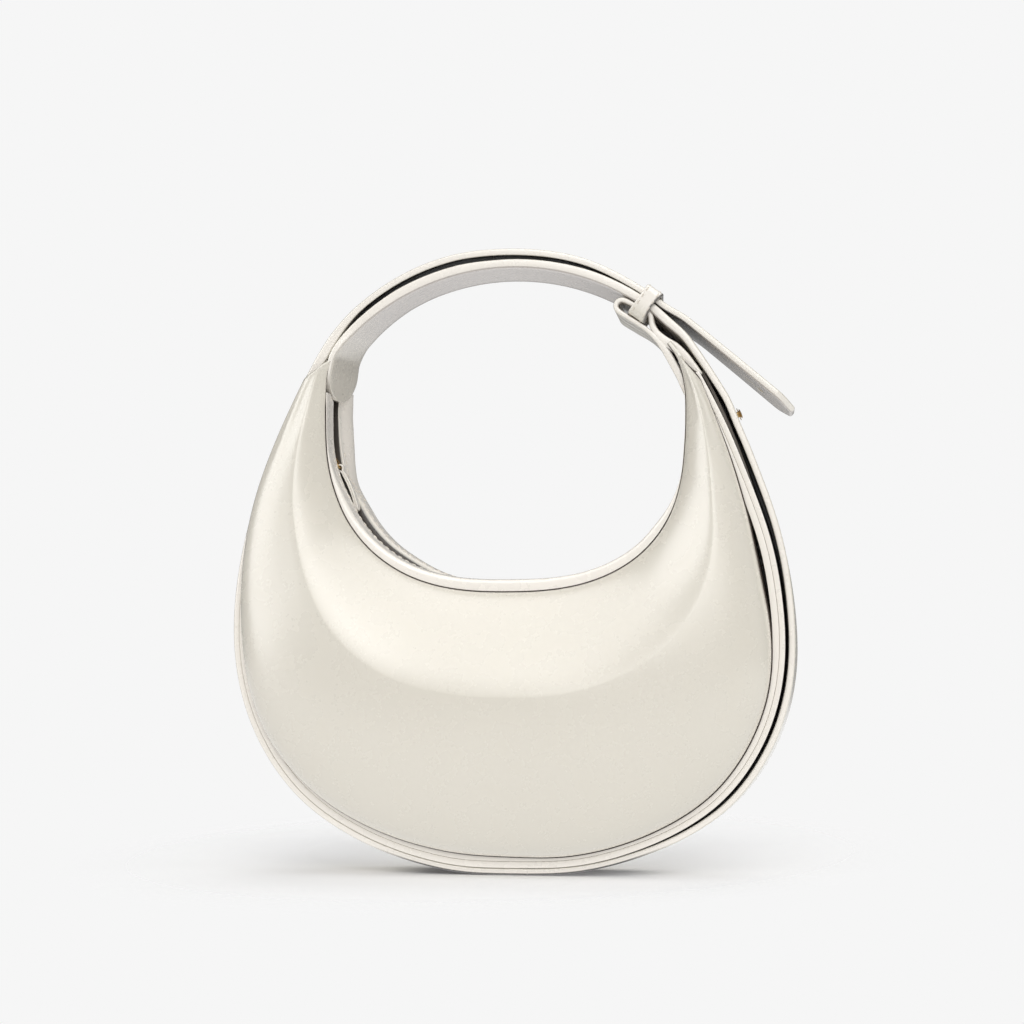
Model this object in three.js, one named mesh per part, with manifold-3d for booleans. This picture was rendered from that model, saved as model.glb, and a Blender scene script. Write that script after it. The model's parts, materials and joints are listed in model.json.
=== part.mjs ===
// Crescent handbag whose body and handle close into a ring.
// Millimetres, +Z up, the front faces -Y, the origin is on the floor under the middle of the bag.
import * as THREE from 'three';
import Module from 'manifold-3d';

const wasm = await Module();
wasm.setup();

// Outline of the body, measured to the outer face of the gusset.
const bodyHalfWidth = 120.6;
const bodyWidestHeight = 107;
const baseSink = 2.4;
const hornRise = 114;
const hornLean = 33.03;
const lowerSquareness = 2.2;
const upperSquareness = 1.7;

// The ring of leather that separates the front from the back.
const ringHalfDepth = 19;
const gussetThick = 2.6;
const stiffenerThick = 1.2;
const liningThick = 0.8;
const weltThick = 2.6;
const weltDepth = 5;
const seamGap = 0.3;

// Round mouth of the bag, along the seam of the front panel. It keeps its distance from the horns.
const mouthInset = 7.27;
const mouthLift = 95;
const mouthFlatten = 2.2;
const mouthRise = 52;
const mouthSquareness = 2.55;

// Puffed front and back panels. Low down the seam tucks under the welt, at the horns it laps the gusset.
const panelThick = 1.8;
const panelBulge = 24;
const panelTuck = 4;
const panelCrestShare = 0.4;
const panelUpperSquareness = 2.1;
const panelLowerSquareness = 2.5;
const panelInnerOver = 6;
const panelOuterUnder = 3.5;
const lapStartRise = 3;
const lapFullRise = 43;
const lapEndDrop = 10;
const panelTipBulge = 2.5;
const panelTipShare = 0.08;

// Lips of the mouth and the zip between them.
const lipRise = 5.3;
const lipEndRise = 0.8;
const lipEndDepth = 4;
const lipHalfGap = 4;
const lipEndLift = 4;
const lipRound = 1.2;
const lipStepClear = 0.8;
const zipCentreLift = 7;
const zipUnderLip = 1;
const tapeThick = 0.9;
const tapeWidth = 8.4;
const toothPitch = 5.5;
const toothLong = 2.8;
const toothReach = 1.3;
const toothGrip = 0.4;
const toothProud = 0.7;
const zipHalfSlot = 2.3;
const zipEndAngle = 8;

// Slider and pull of the zip, and the stops at its ends.
const sliderFromStop = 0.276;
const sliderLong = 10;
const sliderHalfWidth = 3.3;
const sliderPlate = 1.2;
const sliderPost = 2;
const sliderPostLong = 3;
const bailWidth = 1.6;
const bailHeight = 3.4;
const bailLong = 6;
const bailEnd = 1.2;
const bailSink = 0.2;
const linkWire = 1.1;
const linkLong = 9;
const linkNearGap = 2.4;
const pullWidth = 4.6;
const pullLong = 21;
const pullThick = 1.8;
const pullEyeWall = 1;
const pullLeanAngle = 21;
const stopHalfLong = 1.3;
const stopThick = 1;
const stopOverTape = 1.4;
const stopInset = 2.2;

// Leather straps that run round the body and make the handle, whose circle follows the horns.
const strapThick = 3;
const strapHalfWidth = 18;
const strapClear = 0.4;
const sideDaylight = 1.5;
const handleDrop = 57.5;
const hornInset = 1.46;
const handleDaylight = 1.7;
const strapJoinX = 8;
const strapJoinRun = 4;
const outerArcBackAngle = 13.7;
const innerArcBackAngle = 16.7;
const tongueOverLip = 1.6;
const tongueUnderHorn = 2;
const tongueTipHalfWidth = 9;
const tongueMidHalfWidth = 14;
const tongueRootHalfWidth = 17.4;
const tongueSideClear = 0.1;

// Keeper loop, the folded tab that holds it and the free strap tail.
const tailOverHorn = 7.97;
const keeperBackAngle = 4.3;
const foldBackAngle = 9.3;
const squeezeAngle = 20.5;
const keeperLong = 9;
const keeperThick = 1.8;
const keeperRound = 2;
const tabThick = 2.4;
const tabNarrower = 0.6;
const tabUnderHorn = 2;
const tabTipInset = 4.4;
const tabTipOver = 3;
const tabTipBow = 0.5;
const foldSweepAngle = 75;
const tailLong = 70.6;
const tailDroop = 0.6;
const tailTwistAngle = 10;
const tailTipHalfWidth = 8;
const buttonholeAt = 53;
const slitLong = 9;
const slitHalfWidth = 0.4;

// Brass stud on the right side of the belt, with a nut behind it.
const studUnderTail = 12.5;
const studHead = 2.8;
const studHeadHigh = 3.2;
const studNeck = 1.4;
const studNeckHigh = 0.8;
const studShank = 1.3;
const studShankOver = 1.4;
const studFlange = 3;
const studFlangeThick = 0.7;
const studFit = 0.2;
const studSeat = 0.1;
const nutThick = 1;

// Inside slip pocket on the back lining.
const pocketReachShare = 0.15;
const pocketFromAngle = 1.62;
const pocketToAngle = 2.6;

// How finely the long pieces are divided.
const girthSteps = 64;
const panelSteps = 28;
const puffSteps = 10;
const lipSteps = 40;

// Heights and widths that follow from these.
const bodyDrop = bodyWidestHeight - baseSink;
const gussetTop = bodyWidestHeight + hornRise;
const hornHalfWidth = bodyHalfWidth - hornLean;
const hornShare = (1 - (hornHalfWidth / bodyHalfWidth) ** upperSquareness) ** (1 / upperSquareness);
const bodyRise = hornRise / hornShare;
const mouthHalfWidth = hornHalfWidth - mouthInset;
const mouthDrop = mouthHalfWidth - mouthFlatten;
const mouthCentreHeight = bodyWidestHeight + mouthLift;
const panelInnerTop = gussetTop + panelInnerOver;
const panelOuterTop = gussetTop - panelOuterUnder;
const panelLapLow = bodyWidestHeight + lapStartRise;
const panelLapHigh = bodyWidestHeight + lapFullRise;
const lipEndHeight = mouthCentreHeight + lipEndLift;
const zipCentreHeight = mouthCentreHeight + zipCentreLift;
const handleCentreHeight = gussetTop - handleDrop;
const hornReach = Math.hypot(hornHalfWidth, handleDrop);
const handleInnerRadius = hornReach - hornInset;

const leather = 0xeee9de;
const leatherEdge = 0xe2dacd;
const cloth = 0xb9aa98;
const board = 0x8d8478;
const brass = 0xb8924f;

const group = new THREE.Group();
group.name = 'round_handbag';

const radians = THREE.MathUtils.degToRad;
const smooth = THREE.MathUtils.smoothstep;

// Basic solids

function outward(positions, index) {
  let volume = 0;
  const a = new THREE.Vector3();
  const b = new THREE.Vector3();
  const c = new THREE.Vector3();
  for (let i = 0; i < index.length; i += 3) {
    a.fromArray(positions, index[i] * 3);
    b.fromArray(positions, index[i + 1] * 3);
    c.fromArray(positions, index[i + 2] * 3);
    volume += a.dot(b.cross(c));
  }
  const faces = [...index];
  if (volume < 0) {
    for (let i = 0; i < faces.length; i += 3) {
      faces[i + 1] = index[i + 2];
      faces[i + 2] = index[i + 1];
    }
  }
  const geometry = new THREE.BufferGeometry();
  geometry.setAttribute('position', new THREE.Float32BufferAttribute(positions, 3));
  geometry.setIndex(faces);
  return geometry;
}

// Skins a row of closed sections and closes both ends with the given triangles.
function loft(sections, caps) {
  const count = sections[0].length;
  const positions = sections.flat(2);
  const index = [];
  for (let i = 0; i + 1 < sections.length; i++) {
    for (let j = 0; j < count; j++) {
      const a = i * count + j;
      const b = i * count + (j + 1) % count;
      index.push(a, b, a + count, b, b + count, a + count);
    }
  }
  const last = (sections.length - 1) * count;
  for (const [a, b, c] of caps) {
    index.push(a, c, b);
    index.push(last + a, last + b, last + c);
  }
  return outward(positions, index);
}

function polygonCaps(corners) {
  const flat = corners.map(([x, y]) => new THREE.Vector2(x, y));
  const turn = Math.sign(THREE.ShapeUtils.area(flat));
  return THREE.ShapeUtils.triangulateShape(flat, []).map(([a, b, c]) => {
    const same = Math.sign(THREE.ShapeUtils.area([flat[a], flat[b], flat[c]])) === turn;
    return same ? [a, b, c] : [a, c, b];
  });
}

const quadCaps = [[0, 1, 2], [0, 2, 3]];

function toManifold(geometry) {
  const shape = geometry.index ? geometry : indexed(geometry);
  return new wasm.Manifold(new wasm.Mesh({
    numProp: 3,
    vertProperties: new Float32Array(shape.attributes.position.array),
    triVerts: new Uint32Array(shape.index.array),
  }));
}

// Joins the corners that faces share, so a class geometry becomes one closed skin.
function indexed(geometry) {
  const flat = geometry.index ? geometry.toNonIndexed() : geometry;
  const seen = new Map();
  const positions = [];
  const index = [];
  const place = flat.attributes.position;
  for (let i = 0; i < place.count; i++) {
    const corner = [place.getX(i), place.getY(i), place.getZ(i)];
    const key = corner.map((value) => Math.round(value * 10000)).join(' ');
    if (!seen.has(key)) {
      seen.set(key, positions.length / 3);
      positions.push(...corner);
    }
    index.push(seen.get(key));
  }
  const faces = [];
  for (let i = 0; i < index.length; i += 3) {
    const [a, b, c] = index.slice(i, i + 3);
    if (a !== b && b !== c && c !== a) faces.push(a, b, c);
  }
  return outward(positions, faces);
}

function fromManifold(solid) {
  const mesh = solid.getMesh();
  const geometry = new THREE.BufferGeometry();
  geometry.setAttribute('position', new THREE.Float32BufferAttribute(mesh.vertProperties, 3));
  geometry.setIndex([...mesh.triVerts]);
  return geometry;
}

function joined(geometries) {
  let solids = geometries.map((geometry) => toManifold(indexed(geometry)));
  while (solids.length > 1) {
    const next = [];
    for (let i = 0; i < solids.length; i += 2) {
      next.push(i + 1 < solids.length ? solids[i].add(solids[i + 1]) : solids[i]);
    }
    solids = next;
  }
  return fromManifold(solids[0]);
}

function cut(geometry, tool) {
  return fromManifold(toManifold(indexed(geometry)).subtract(toManifold(indexed(tool))));
}

function add(name, geometry, color, roughness, metalness) {
  const material = new THREE.MeshStandardMaterial({ color, roughness, metalness });
  geometry.deleteAttribute('normal');
  geometry.deleteAttribute('uv');
  geometry.computeVertexNormals();
  const mesh = new THREE.Mesh(geometry, material);
  mesh.name = name;
  group.add(mesh);
}

const addLeather = (name, geometry) => add(name, geometry, leather, 0.45, 0);
const addCloth = (name, geometry) => add(name, geometry, cloth, 0.9, 0);
const addBrass = (name, geometry) => add(name, geometry, brass, 0.3, 1);

// Plane curves in X and Z

// One quarter of a squared ellipse, from the foot or the top to the widest point.
function quarter(halfWidth, rise, power, steps) {
  const points = [];
  for (let k = 0; k <= steps; k++) {
    const angle = (k / steps) * Math.PI / 2;
    const x = halfWidth * Math.cos(angle) ** (2 / power);
    const z = rise * Math.sin(angle) ** (2 / power);
    points.push([x, z]);
  }
  return points;
}

// A U-shaped outline: down the left side, along the bottom and up the right side.
function ringOutline(halfWidth, centre, drop, dropPower, rise, risePower, leftTop, rightTop) {
  const low = quarter(halfWidth, drop, dropPower, 120).map(([x, z]) => [x, centre - z]).reverse();
  const high = quarter(halfWidth, rise, risePower, 120).map(([x, z]) => [x, centre + z]).slice(1);
  const right = [...low, ...high];
  const upTo = (top) => {
    const kept = right.filter(([, z]) => z < top);
    const [x0, z0] = right[kept.length - 1];
    const [x1, z1] = right[kept.length];
    const part = (top - z0) / (z1 - z0);
    return [...kept, [x0 + part * (x1 - x0), top]];
  };
  const left = upTo(leftTop).slice(1).map(([x, z]) => [-x, z]).reverse();
  return [...left, ...upTo(rightTop)];
}

function lengths(points) {
  const sums = [0];
  for (let i = 1; i < points.length; i++) {
    const step = Math.hypot(points[i][0] - points[i - 1][0], points[i][1] - points[i - 1][1]);
    sums.push(sums[i - 1] + step);
  }
  return sums;
}

// Point at a share of the whole length of a curve.
function alongCurve(points) {
  const sums = lengths(points);
  const whole = sums[sums.length - 1];
  return (share) => {
    const goal = THREE.MathUtils.clamp(share, 0, 1) * whole;
    let i = 1;
    while (i < sums.length - 1 && sums[i] < goal) i++;
    const part = (goal - sums[i - 1]) / (sums[i] - sums[i - 1]);
    return [
      points[i - 1][0] + part * (points[i][0] - points[i - 1][0]),
      points[i - 1][1] + part * (points[i][1] - points[i - 1][1]),
    ];
  };
}

function resample(points, steps) {
  const at = alongCurve(points);
  return Array.from({ length: steps + 1 }, (unused, i) => at(i / steps));
}

// Unit normals to the right of the way the curve runs.
function normals(points) {
  return points.map((unused, i) => {
    const [x0, z0] = points[Math.max(i - 1, 0)];
    const [x1, z1] = points[Math.min(i + 1, points.length - 1)];
    const long = Math.hypot(x1 - x0, z1 - z0);
    return [(z1 - z0) / long, -(x1 - x0) / long];
  });
}

function shifted(points, sides, distance) {
  const reach = (i) => (typeof distance === 'function' ? distance(i, points[i]) : distance);
  return points.map(([x, z], i) => [x + sides[i][0] * reach(i), z + sides[i][1] * reach(i)]);
}

function splineThrough(points, steps) {
  const curve = new THREE.SplineCurve(points.map(([x, z]) => new THREE.Vector2(x, z)));
  return curve.getSpacedPoints(steps).map((point) => [point.x, point.y]);
}

// A flat band that follows two edge curves and reaches from one depth to another.
function band(inner, outer, front, back) {
  const depth = (value, i) => (typeof value === 'function' ? value(i, inner[i]) : value);
  const sections = inner.map(([x, z], i) => {
    const [u, w] = outer[i];
    const near = depth(front, i);
    const far = depth(back, i);
    return [[x, near, z], [u, near, w], [u, far, w], [x, far, z]];
  });
  return loft(sections, quadCaps);
}

// Gusset and the layers inside it

const girthCurve = ringOutline(
  bodyHalfWidth, bodyWidestHeight, bodyDrop, lowerSquareness,
  bodyRise, upperSquareness, gussetTop, gussetTop,
);
const baseHeight = strapThick + strapClear;
const girthFlat = girthCurve.map(([x, z]) => [x, Math.max(z, baseHeight)]);
const girth = resample(girthFlat, girthSteps);
const girthSide = normals(girth);
const girthAt = (distance) => shifted(girth, girthSide, distance);

const stiffenerOut = gussetThick + seamGap;
const stiffenerIn = stiffenerOut + stiffenerThick;
const gussetLiningOut = stiffenerIn + seamGap;
const gussetLiningIn = gussetLiningOut + liningThick;
const weltOut = gussetThick + seamGap;
const weltIn = weltOut + weltThick;
const insideHalfDepth = ringHalfDepth - weltDepth - seamGap;

addLeather('gusset', band(girthAt(-gussetThick), girthAt(0), -ringHalfDepth, ringHalfDepth));
add(
  'gusset_stiffener',
  band(girthAt(-stiffenerIn), girthAt(-stiffenerOut), -insideHalfDepth, insideHalfDepth),
  board, 0.9, 0,
);
addCloth(
  'gusset_lining',
  band(girthAt(-gussetLiningIn), girthAt(-gussetLiningOut), -insideHalfDepth, insideHalfDepth),
);
for (const [name, side] of [['front_welt', -1], ['back_welt', 1]]) {
  const edge = side * ringHalfDepth;
  const root = side * (ringHalfDepth - weltDepth);
  add(name, band(girthAt(-weltIn), girthAt(-weltOut), edge, root), leatherEdge, 0.5, 0);
}

// Puffed panels

const mouthCurve = ringOutline(
  mouthHalfWidth, mouthCentreHeight, mouthDrop, mouthSquareness,
  mouthRise, mouthSquareness, panelInnerTop, panelInnerTop,
);
const panelOuterCurve = resample(ringOutline(
  bodyHalfWidth, bodyWidestHeight, bodyDrop, lowerSquareness,
  bodyRise, upperSquareness, panelOuterTop, panelOuterTop,
).map(([x, z]) => [x, Math.max(z, baseHeight)]), 200);
const seamInset = (height) => {
  const lapped = smooth(height, panelLapHigh, panelOuterTop - lapEndDrop);
  return THREE.MathUtils.lerp(weltIn + seamGap, strapClear, lapped);
};
const seamCurve = shifted(
  panelOuterCurve, normals(panelOuterCurve), (i, [, z]) => -seamInset(z),
);
const mouthAt = alongCurve(mouthCurve);
const seamAt = alongCurve(seamCurve);
const panelSpan = (u) => {
  const [x0, z0] = mouthAt(u);
  const [x1, z1] = seamAt(u);
  return Math.hypot(x1 - x0, z1 - z0);
};
const widestSpan = panelSpan(0.5);

// A point on the outer face of the front panel: u runs round the crescent, turn runs over the puff.
function panelPoint(u, turn) {
  const [x0, z0] = mouthAt(u);
  const [x1, z1] = seamAt(u);
  const upper = turn < Math.PI / 2;
  const power = 2 / (upper ? panelUpperSquareness : panelLowerSquareness);
  const swing = Math.abs(Math.cos(turn)) ** power;
  const v = upper ? panelCrestShare * (1 - swing) : panelCrestShare + (1 - panelCrestShare) * swing;
  const lift = Math.max(Math.sin(turn), 0) ** power;
  const lapped = smooth(z1, panelLapLow, panelLapHigh);
  const foot = ringHalfDepth + THREE.MathUtils.lerp(-panelTuck, seamGap, lapped);
  const full = panelBulge * (panelSpan(u) / widestSpan) ** 0.8;
  const fromTip = smooth(Math.min(u, 1 - u), -panelTipShare / 2, panelTipShare);
  const bulge = THREE.MathUtils.lerp(panelTipBulge, Math.max(full, panelTipBulge), fromTip);
  const depth = THREE.MathUtils.lerp(foot, ringHalfDepth + bulge, lift);
  return new THREE.Vector3(x0 + v * (x1 - x0), -depth, z0 + v * (z1 - z0));
}

const nearbyShare = 0.004;
const nearbyAngle = 0.03;
const crown = Math.PI / 2;
const rawMiddle = panelPoint(0.5 + nearbyShare, crown).sub(panelPoint(0.5 - nearbyShare, crown));
const rawAcross = panelPoint(0.5, crown + nearbyAngle).sub(panelPoint(0.5, crown - nearbyAngle));
const normalSign = rawMiddle.cross(rawAcross).y < 0 ? 1 : -1;

function panelOffset(u, turn, depth) {
  const before = panelPoint(Math.max(u - nearbyShare, 0), turn);
  const alongU = panelPoint(Math.min(u + nearbyShare, 1), turn).sub(before);
  const early = panelPoint(u, Math.max(turn - nearbyAngle, 0));
  const alongT = panelPoint(u, Math.min(turn + nearbyAngle, Math.PI)).sub(early);
  const normal = alongU.cross(alongT).normalize().multiplyScalar(normalSign);
  return panelPoint(u, turn).addScaledVector(normal, -depth);
}

// A sheet that lies between two depths below the face of a panel.
function panelSheet(side, outerDepth, innerDepth, us, turns) {
  const place = (point) => [point.x, side * -point.y, point.z];
  const sections = us.map((u) => {
    const out = turns.map((turn) => place(panelOffset(u, turn, outerDepth)));
    const back = turns.map((turn) => place(panelOffset(u, turn, innerDepth))).reverse();
    return [...out, ...back];
  });
  const count = turns.length;
  const caps = [];
  for (let j = 0; j + 1 < count; j++) {
    const far = 2 * count - 1 - j;
    caps.push([j, j + 1, far - 1], [j, far - 1, far]);
  }
  return loft(sections, caps);
}

const steps = (from, to, count) => Array.from(
  { length: count + 1 }, (unused, i) => from + (to - from) * i / count,
);
const panelU = steps(0, 1, panelSteps);
const panelT = steps(0, Math.PI, puffSteps);
const liningOut = panelThick + seamGap;
const liningIn = liningOut + liningThick;
const liningU = panelU.slice(2, -2);
for (const [name, side] of [['front', -1], ['back', 1]]) {
  addLeather(`${name}_panel`, panelSheet(side, 0, panelThick, panelU, panelT));
  addCloth(`${name}_lining`, panelSheet(side, liningOut, liningIn, liningU, panelT));
}
const pocketU = panelU.filter((u) => Math.abs(u - 0.5) <= pocketReachShare);
const pocketT = panelT.filter((turn) => turn >= pocketFromAngle && turn <= pocketToAngle);
const pocketOut = liningIn + seamGap;
addCloth('slip_pocket', panelSheet(1, pocketOut, pocketOut + liningThick, pocketU, pocketT));

// Mouth lips and zip, placed by the angle round the middle of the zip's arc

const mouthPolar = mouthCurve.map(([x, z]) => {
  const angle = Math.atan2(zipCentreHeight - z, -x);
  return [angle, Math.hypot(x, z - zipCentreHeight)];
});
function mouthRadius(angle) {
  let i = 1;
  while (i < mouthPolar.length - 1 && mouthPolar[i][0] < angle) i++;
  const [a0, r0] = mouthPolar[i - 1];
  const [a1, r1] = mouthPolar[i];
  return r0 + (angle - a0) / (a1 - a0) * (r1 - r0);
}
const lipStart = Math.asin((zipCentreHeight - lipEndHeight) / mouthHalfWidth);
const lipAngles = steps(lipStart, Math.PI - lipStart, lipSteps);
const zipRadius = Math.max(...lipAngles.map(mouthRadius)) + zipUnderLip;
const onArc = (angle, radius, y) => [
  -radius * Math.cos(angle), y, zipCentreHeight - radius * Math.sin(angle),
];

function lipSection(angle, side) {
  const seam = mouthRadius(angle) - seamGap;
  const share = Math.sin((angle - lipStart) / (Math.PI - 2 * lipStart) * Math.PI);
  const rise = THREE.MathUtils.lerp(lipEndRise, lipRise, share);
  const crest = seam - rise;
  const round = Math.min(lipRound, rise * 0.6);
  const fromEnd = Math.min(angle, Math.PI - angle);
  const reached = smooth(fromEnd, lipStart, radians(zipEndAngle));
  const floor = THREE.MathUtils.lerp(seam + lipEndDepth, zipRadius - seamGap, reached);
  const step = ringHalfDepth - panelTuck - lipStepClear;
  return [
    [seam, ringHalfDepth], [crest + round, ringHalfDepth], [crest, ringHalfDepth - round],
    [crest, lipHalfGap + round], [crest + round, lipHalfGap], [floor, lipHalfGap],
    [floor, step], [seam, step],
  ].map(([radius, y]) => [radius, side * y]);
}

for (const [name, side] of [['front_mouth_lip', -1], ['back_mouth_lip', 1]]) {
  const sections = lipAngles.map((angle) => (
    lipSection(angle, side).map(([radius, y]) => onArc(angle, radius, y))
  ));
  addLeather(name, loft(sections, polygonCaps(lipSection(Math.PI / 2, side))));
}

// Frame on the zip's arc: X along the zip, Z out of the bag.
function zipFrame(angle, radius) {
  const along = new THREE.Vector3(Math.sin(angle), 0, -Math.cos(angle));
  const across = new THREE.Vector3(0, 1, 0);
  const out = new THREE.Vector3(Math.cos(angle), 0, Math.sin(angle));
  return new THREE.Matrix4().makeBasis(along, across, out)
    .setPosition(...onArc(angle, radius, 0));
}

function block(x0, x1, y0, y1, z0, z1) {
  const box = new THREE.BoxGeometry(x1 - x0, y1 - y0, z1 - z0);
  return box.translate((x0 + x1) / 2, (y0 + y1) / 2, (z0 + z1) / 2);
}

const zipStart = radians(zipEndAngle);
const zipAngles = steps(zipStart, Math.PI - zipStart, lipSteps);
const toothCount = Math.floor(zipRadius * (Math.PI - 2 * zipStart) / toothPitch) - 2;
const tapeEdge = zipHalfSlot + toothReach - toothGrip;
for (const [name, side] of [['zip_tape_front', -1], ['zip_tape_back', 1]]) {
  const tape = loft(zipAngles.map((angle) => [
    onArc(angle, zipRadius, side * tapeEdge),
    onArc(angle, zipRadius + tapeThick, side * tapeEdge),
    onArc(angle, zipRadius + tapeThick, side * (tapeEdge + tapeWidth)),
    onArc(angle, zipRadius, side * (tapeEdge + tapeWidth)),
  ]), quadCaps);
  const teeth = Array.from({ length: toothCount }, (unused, i) => {
    const angle = zipStart + (i + 1.5 + side * 0.25) * toothPitch / zipRadius;
    const near = side * zipHalfSlot;
    const far = side * (zipHalfSlot + toothReach);
    const tooth = block(
      -toothLong / 2, toothLong / 2, Math.min(near, far), Math.max(near, far),
      -tapeThick - toothProud, toothProud,
    );
    return tooth.applyMatrix4(zipFrame(angle, zipRadius));
  });
  add(name, joined([tape, ...teeth]), 0x6f5a42, 0.6, 0.3);
}

// The slider holds both rows between two plates on one post.
const plateClear = toothProud + seamGap;
const topPlateLow = plateClear;
const topPlateHigh = topPlateLow + sliderPlate;
const lowPlateHigh = -tapeThick - plateClear;
const lowPlateLow = lowPlateHigh - sliderPlate;
const halfSlider = sliderLong / 2;
const sliderRun = stopInset + stopHalfLong + sliderFromStop + halfSlider;
const sliderPlace = zipFrame(zipStart + sliderRun / zipRadius, zipRadius);
const bailHole = linkWire + 2 * seamGap;
const bailWall = (bailHeight - bailHole) / 2;
addBrass('zip_slider', joined([
  block(-halfSlider, halfSlider, -sliderHalfWidth, sliderHalfWidth, topPlateLow, topPlateHigh),
  block(-halfSlider, halfSlider, -sliderHalfWidth, sliderHalfWidth, lowPlateLow, lowPlateHigh),
  block(
    -halfSlider, -halfSlider + sliderPostLong, -sliderPost / 2, sliderPost / 2,
    lowPlateLow, topPlateHigh,
  ),
  cut(
    block(
      -bailLong / 2, bailLong / 2, -bailWidth / 2, bailWidth / 2,
      topPlateHigh - bailSink, topPlateHigh + bailHeight,
    ),
    block(
      -bailLong / 2 + bailEnd, bailLong / 2 - bailEnd, -bailWidth, bailWidth,
      topPlateHigh + bailWall, topPlateHigh + bailWall + bailHole,
    ),
  ),
]).applyMatrix4(sliderPlace));

// The link and the leather pull swing on a bar through the bail.
const pivotHigh = topPlateHigh + bailWall + bailHole / 2;
const pullPlace = sliderPlace.clone()
  .multiply(new THREE.Matrix4().makeTranslation(0, 0, pivotHigh))
  .multiply(new THREE.Matrix4().makeRotationY(-radians(pullLeanAngle)));
const halfWire = linkWire / 2;
const nearHalf = linkNearGap / 2;
const farHalf = pullWidth / 2 + seamGap;
const linkSides = (near, far, nearEdge, farEdge) => [
  new THREE.Vector2(nearEdge, -near),
  new THREE.Vector2(farEdge, -far),
  new THREE.Vector2(farEdge, far),
  new THREE.Vector2(nearEdge, near),
];
const linkShape = new THREE.Shape(
  linkSides(nearHalf + linkWire, farHalf + linkWire, -halfWire, linkLong + halfWire),
);
linkShape.holes.push(new THREE.Path(
  linkSides(nearHalf, farHalf, halfWire, linkLong - halfWire).reverse(),
));
const linkFlat = new THREE.ExtrudeGeometry(linkShape, { depth: linkWire, bevelEnabled: false });
addBrass('zip_pull_link', indexed(linkFlat.translate(0, 0, -halfWire)).applyMatrix4(pullPlace));

const eye = linkWire / 2 * Math.SQRT2 + seamGap;
const eyeOuter = eye + pullEyeWall;
const eyeMeets = Math.asin(pullThick / 2 / eyeOuter);
const pullShape = new THREE.Shape();
pullShape.absarc(0, 0, eyeOuter, eyeMeets, -eyeMeets, false);
pullShape.lineTo(pullLong - pullThick / 2, -pullThick / 2);
pullShape.lineTo(pullLong, 0);
pullShape.lineTo(pullLong - pullThick / 2, pullThick / 2);
pullShape.closePath();
const eyePath = new THREE.Path();
eyePath.absarc(0, 0, eye, 0, Math.PI * 2, true);
pullShape.holes.push(eyePath);
const pullFlat = new THREE.ExtrudeGeometry(
  pullShape, { depth: pullWidth, bevelEnabled: false, curveSegments: 7 },
);
pullFlat.translate(0, 0, -pullWidth / 2).rotateX(Math.PI / 2).translate(linkLong, 0, 0);
addLeather('zip_pull_tab', indexed(pullFlat).applyMatrix4(pullPlace));

// A bottom stop joins both tapes at the closed end; a top stop caps each tape at the other.
const stopTop = -tapeThick - seamGap;
const stopFrom = stopInset / zipRadius;
addBrass('zip_bottom_stop', block(
  -stopHalfLong, stopHalfLong, -tapeEdge - stopOverTape, tapeEdge + stopOverTape,
  stopTop - stopThick, stopTop,
).applyMatrix4(zipFrame(zipStart + stopFrom, zipRadius)));
for (const [name, side] of [['zip_top_stop_front', -1], ['zip_top_stop_back', 1]]) {
  const ends = [side * tapeEdge, side * (tapeEdge + stopOverTape)].sort((a, b) => a - b);
  const stop = block(-stopHalfLong, stopHalfLong, ...ends, stopTop - stopThick, stopTop);
  addBrass(name, stop.applyMatrix4(zipFrame(Math.PI - zipStart - stopFrom, zipRadius)));
}

// Straps

const handleMiddle = handleInnerRadius + strapThick / 2;
const outerMiddle = handleMiddle + strapThick + handleDaylight;
const squeezed = handleMiddle + strapThick + strapClear;
const onHandle = (degrees, radius) => [
  radius * Math.sin(radians(degrees)),
  handleCentreHeight + radius * Math.cos(radians(degrees)),
];
const half = strapThick / 2;

// The tail leaves the handle where its straight line clears the belt at the right horn.
const hornAngle = THREE.MathUtils.radToDeg(Math.atan2(hornHalfWidth, handleDrop));
const clearing = THREE.MathUtils.radToDeg(Math.acos((squeezed - tailOverHorn) / hornReach));
const tailAngle = hornAngle - clearing;
const keeperAngle = tailAngle - keeperBackAngle;
const tabFoldAngle = tailAngle - foldBackAngle;

// On both sides the belt stands off the gusset a little; under the base it lies against it. On the
// left it closes up again toward the horn.
const daylight = (height, closing) => {
  const rising = smooth(height, bodyWidestHeight * 0.35, bodyWidestHeight * 1.2);
  const closed = closing * smooth(height, bodyWidestHeight * 1.2, gussetTop);
  return sideDaylight * rising * (1 - closed);
};
const beltPath = girthAt((i, [x, z]) => strapClear + half + daylight(z, x < 0 ? 1 : 0));

// The outer strap runs from the join under the base up the left side and over to the keeper.
const leftGirth = beltPath.filter(([x]) => x < strapJoinX - strapJoinRun).reverse();
const outerArc = steps(outerArcBackAngle - hornAngle, tailAngle, 26).map((degrees) => {
  const drawn = smooth(degrees, tabFoldAngle - squeezeAngle, tabFoldAngle);
  return onHandle(degrees, THREE.MathUtils.lerp(outerMiddle, squeezed, drawn));
});
const outerEnd = half + seamGap;
const cutBack = outerEnd / squeezed / Math.PI * 180;
outerArc[outerArc.length - 1] = onHandle(tailAngle - cutBack, squeezed);
const leftHorn = leftGirth[leftGirth.length - 1];
const shoulder = splineThrough(
  [leftGirth[leftGirth.length - 2], leftHorn, outerArc[0], outerArc[1]], 30,
).filter(([x, z]) => z > leftHorn[1] + strapThick && x < outerArc[0][0] - half)
  .filter((unused, i) => i % 3 === 0);
const joinPoint = [strapJoinX, half];
const outerPath = [joinPoint, ...leftGirth, ...shoulder, ...outerArc];
const outerSide = normals(outerPath);
addLeather('outer_strap', band(
  shifted(outerPath, outerSide, -half), shifted(outerPath, outerSide, half),
  -strapHalfWidth, strapHalfWidth,
));

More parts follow.
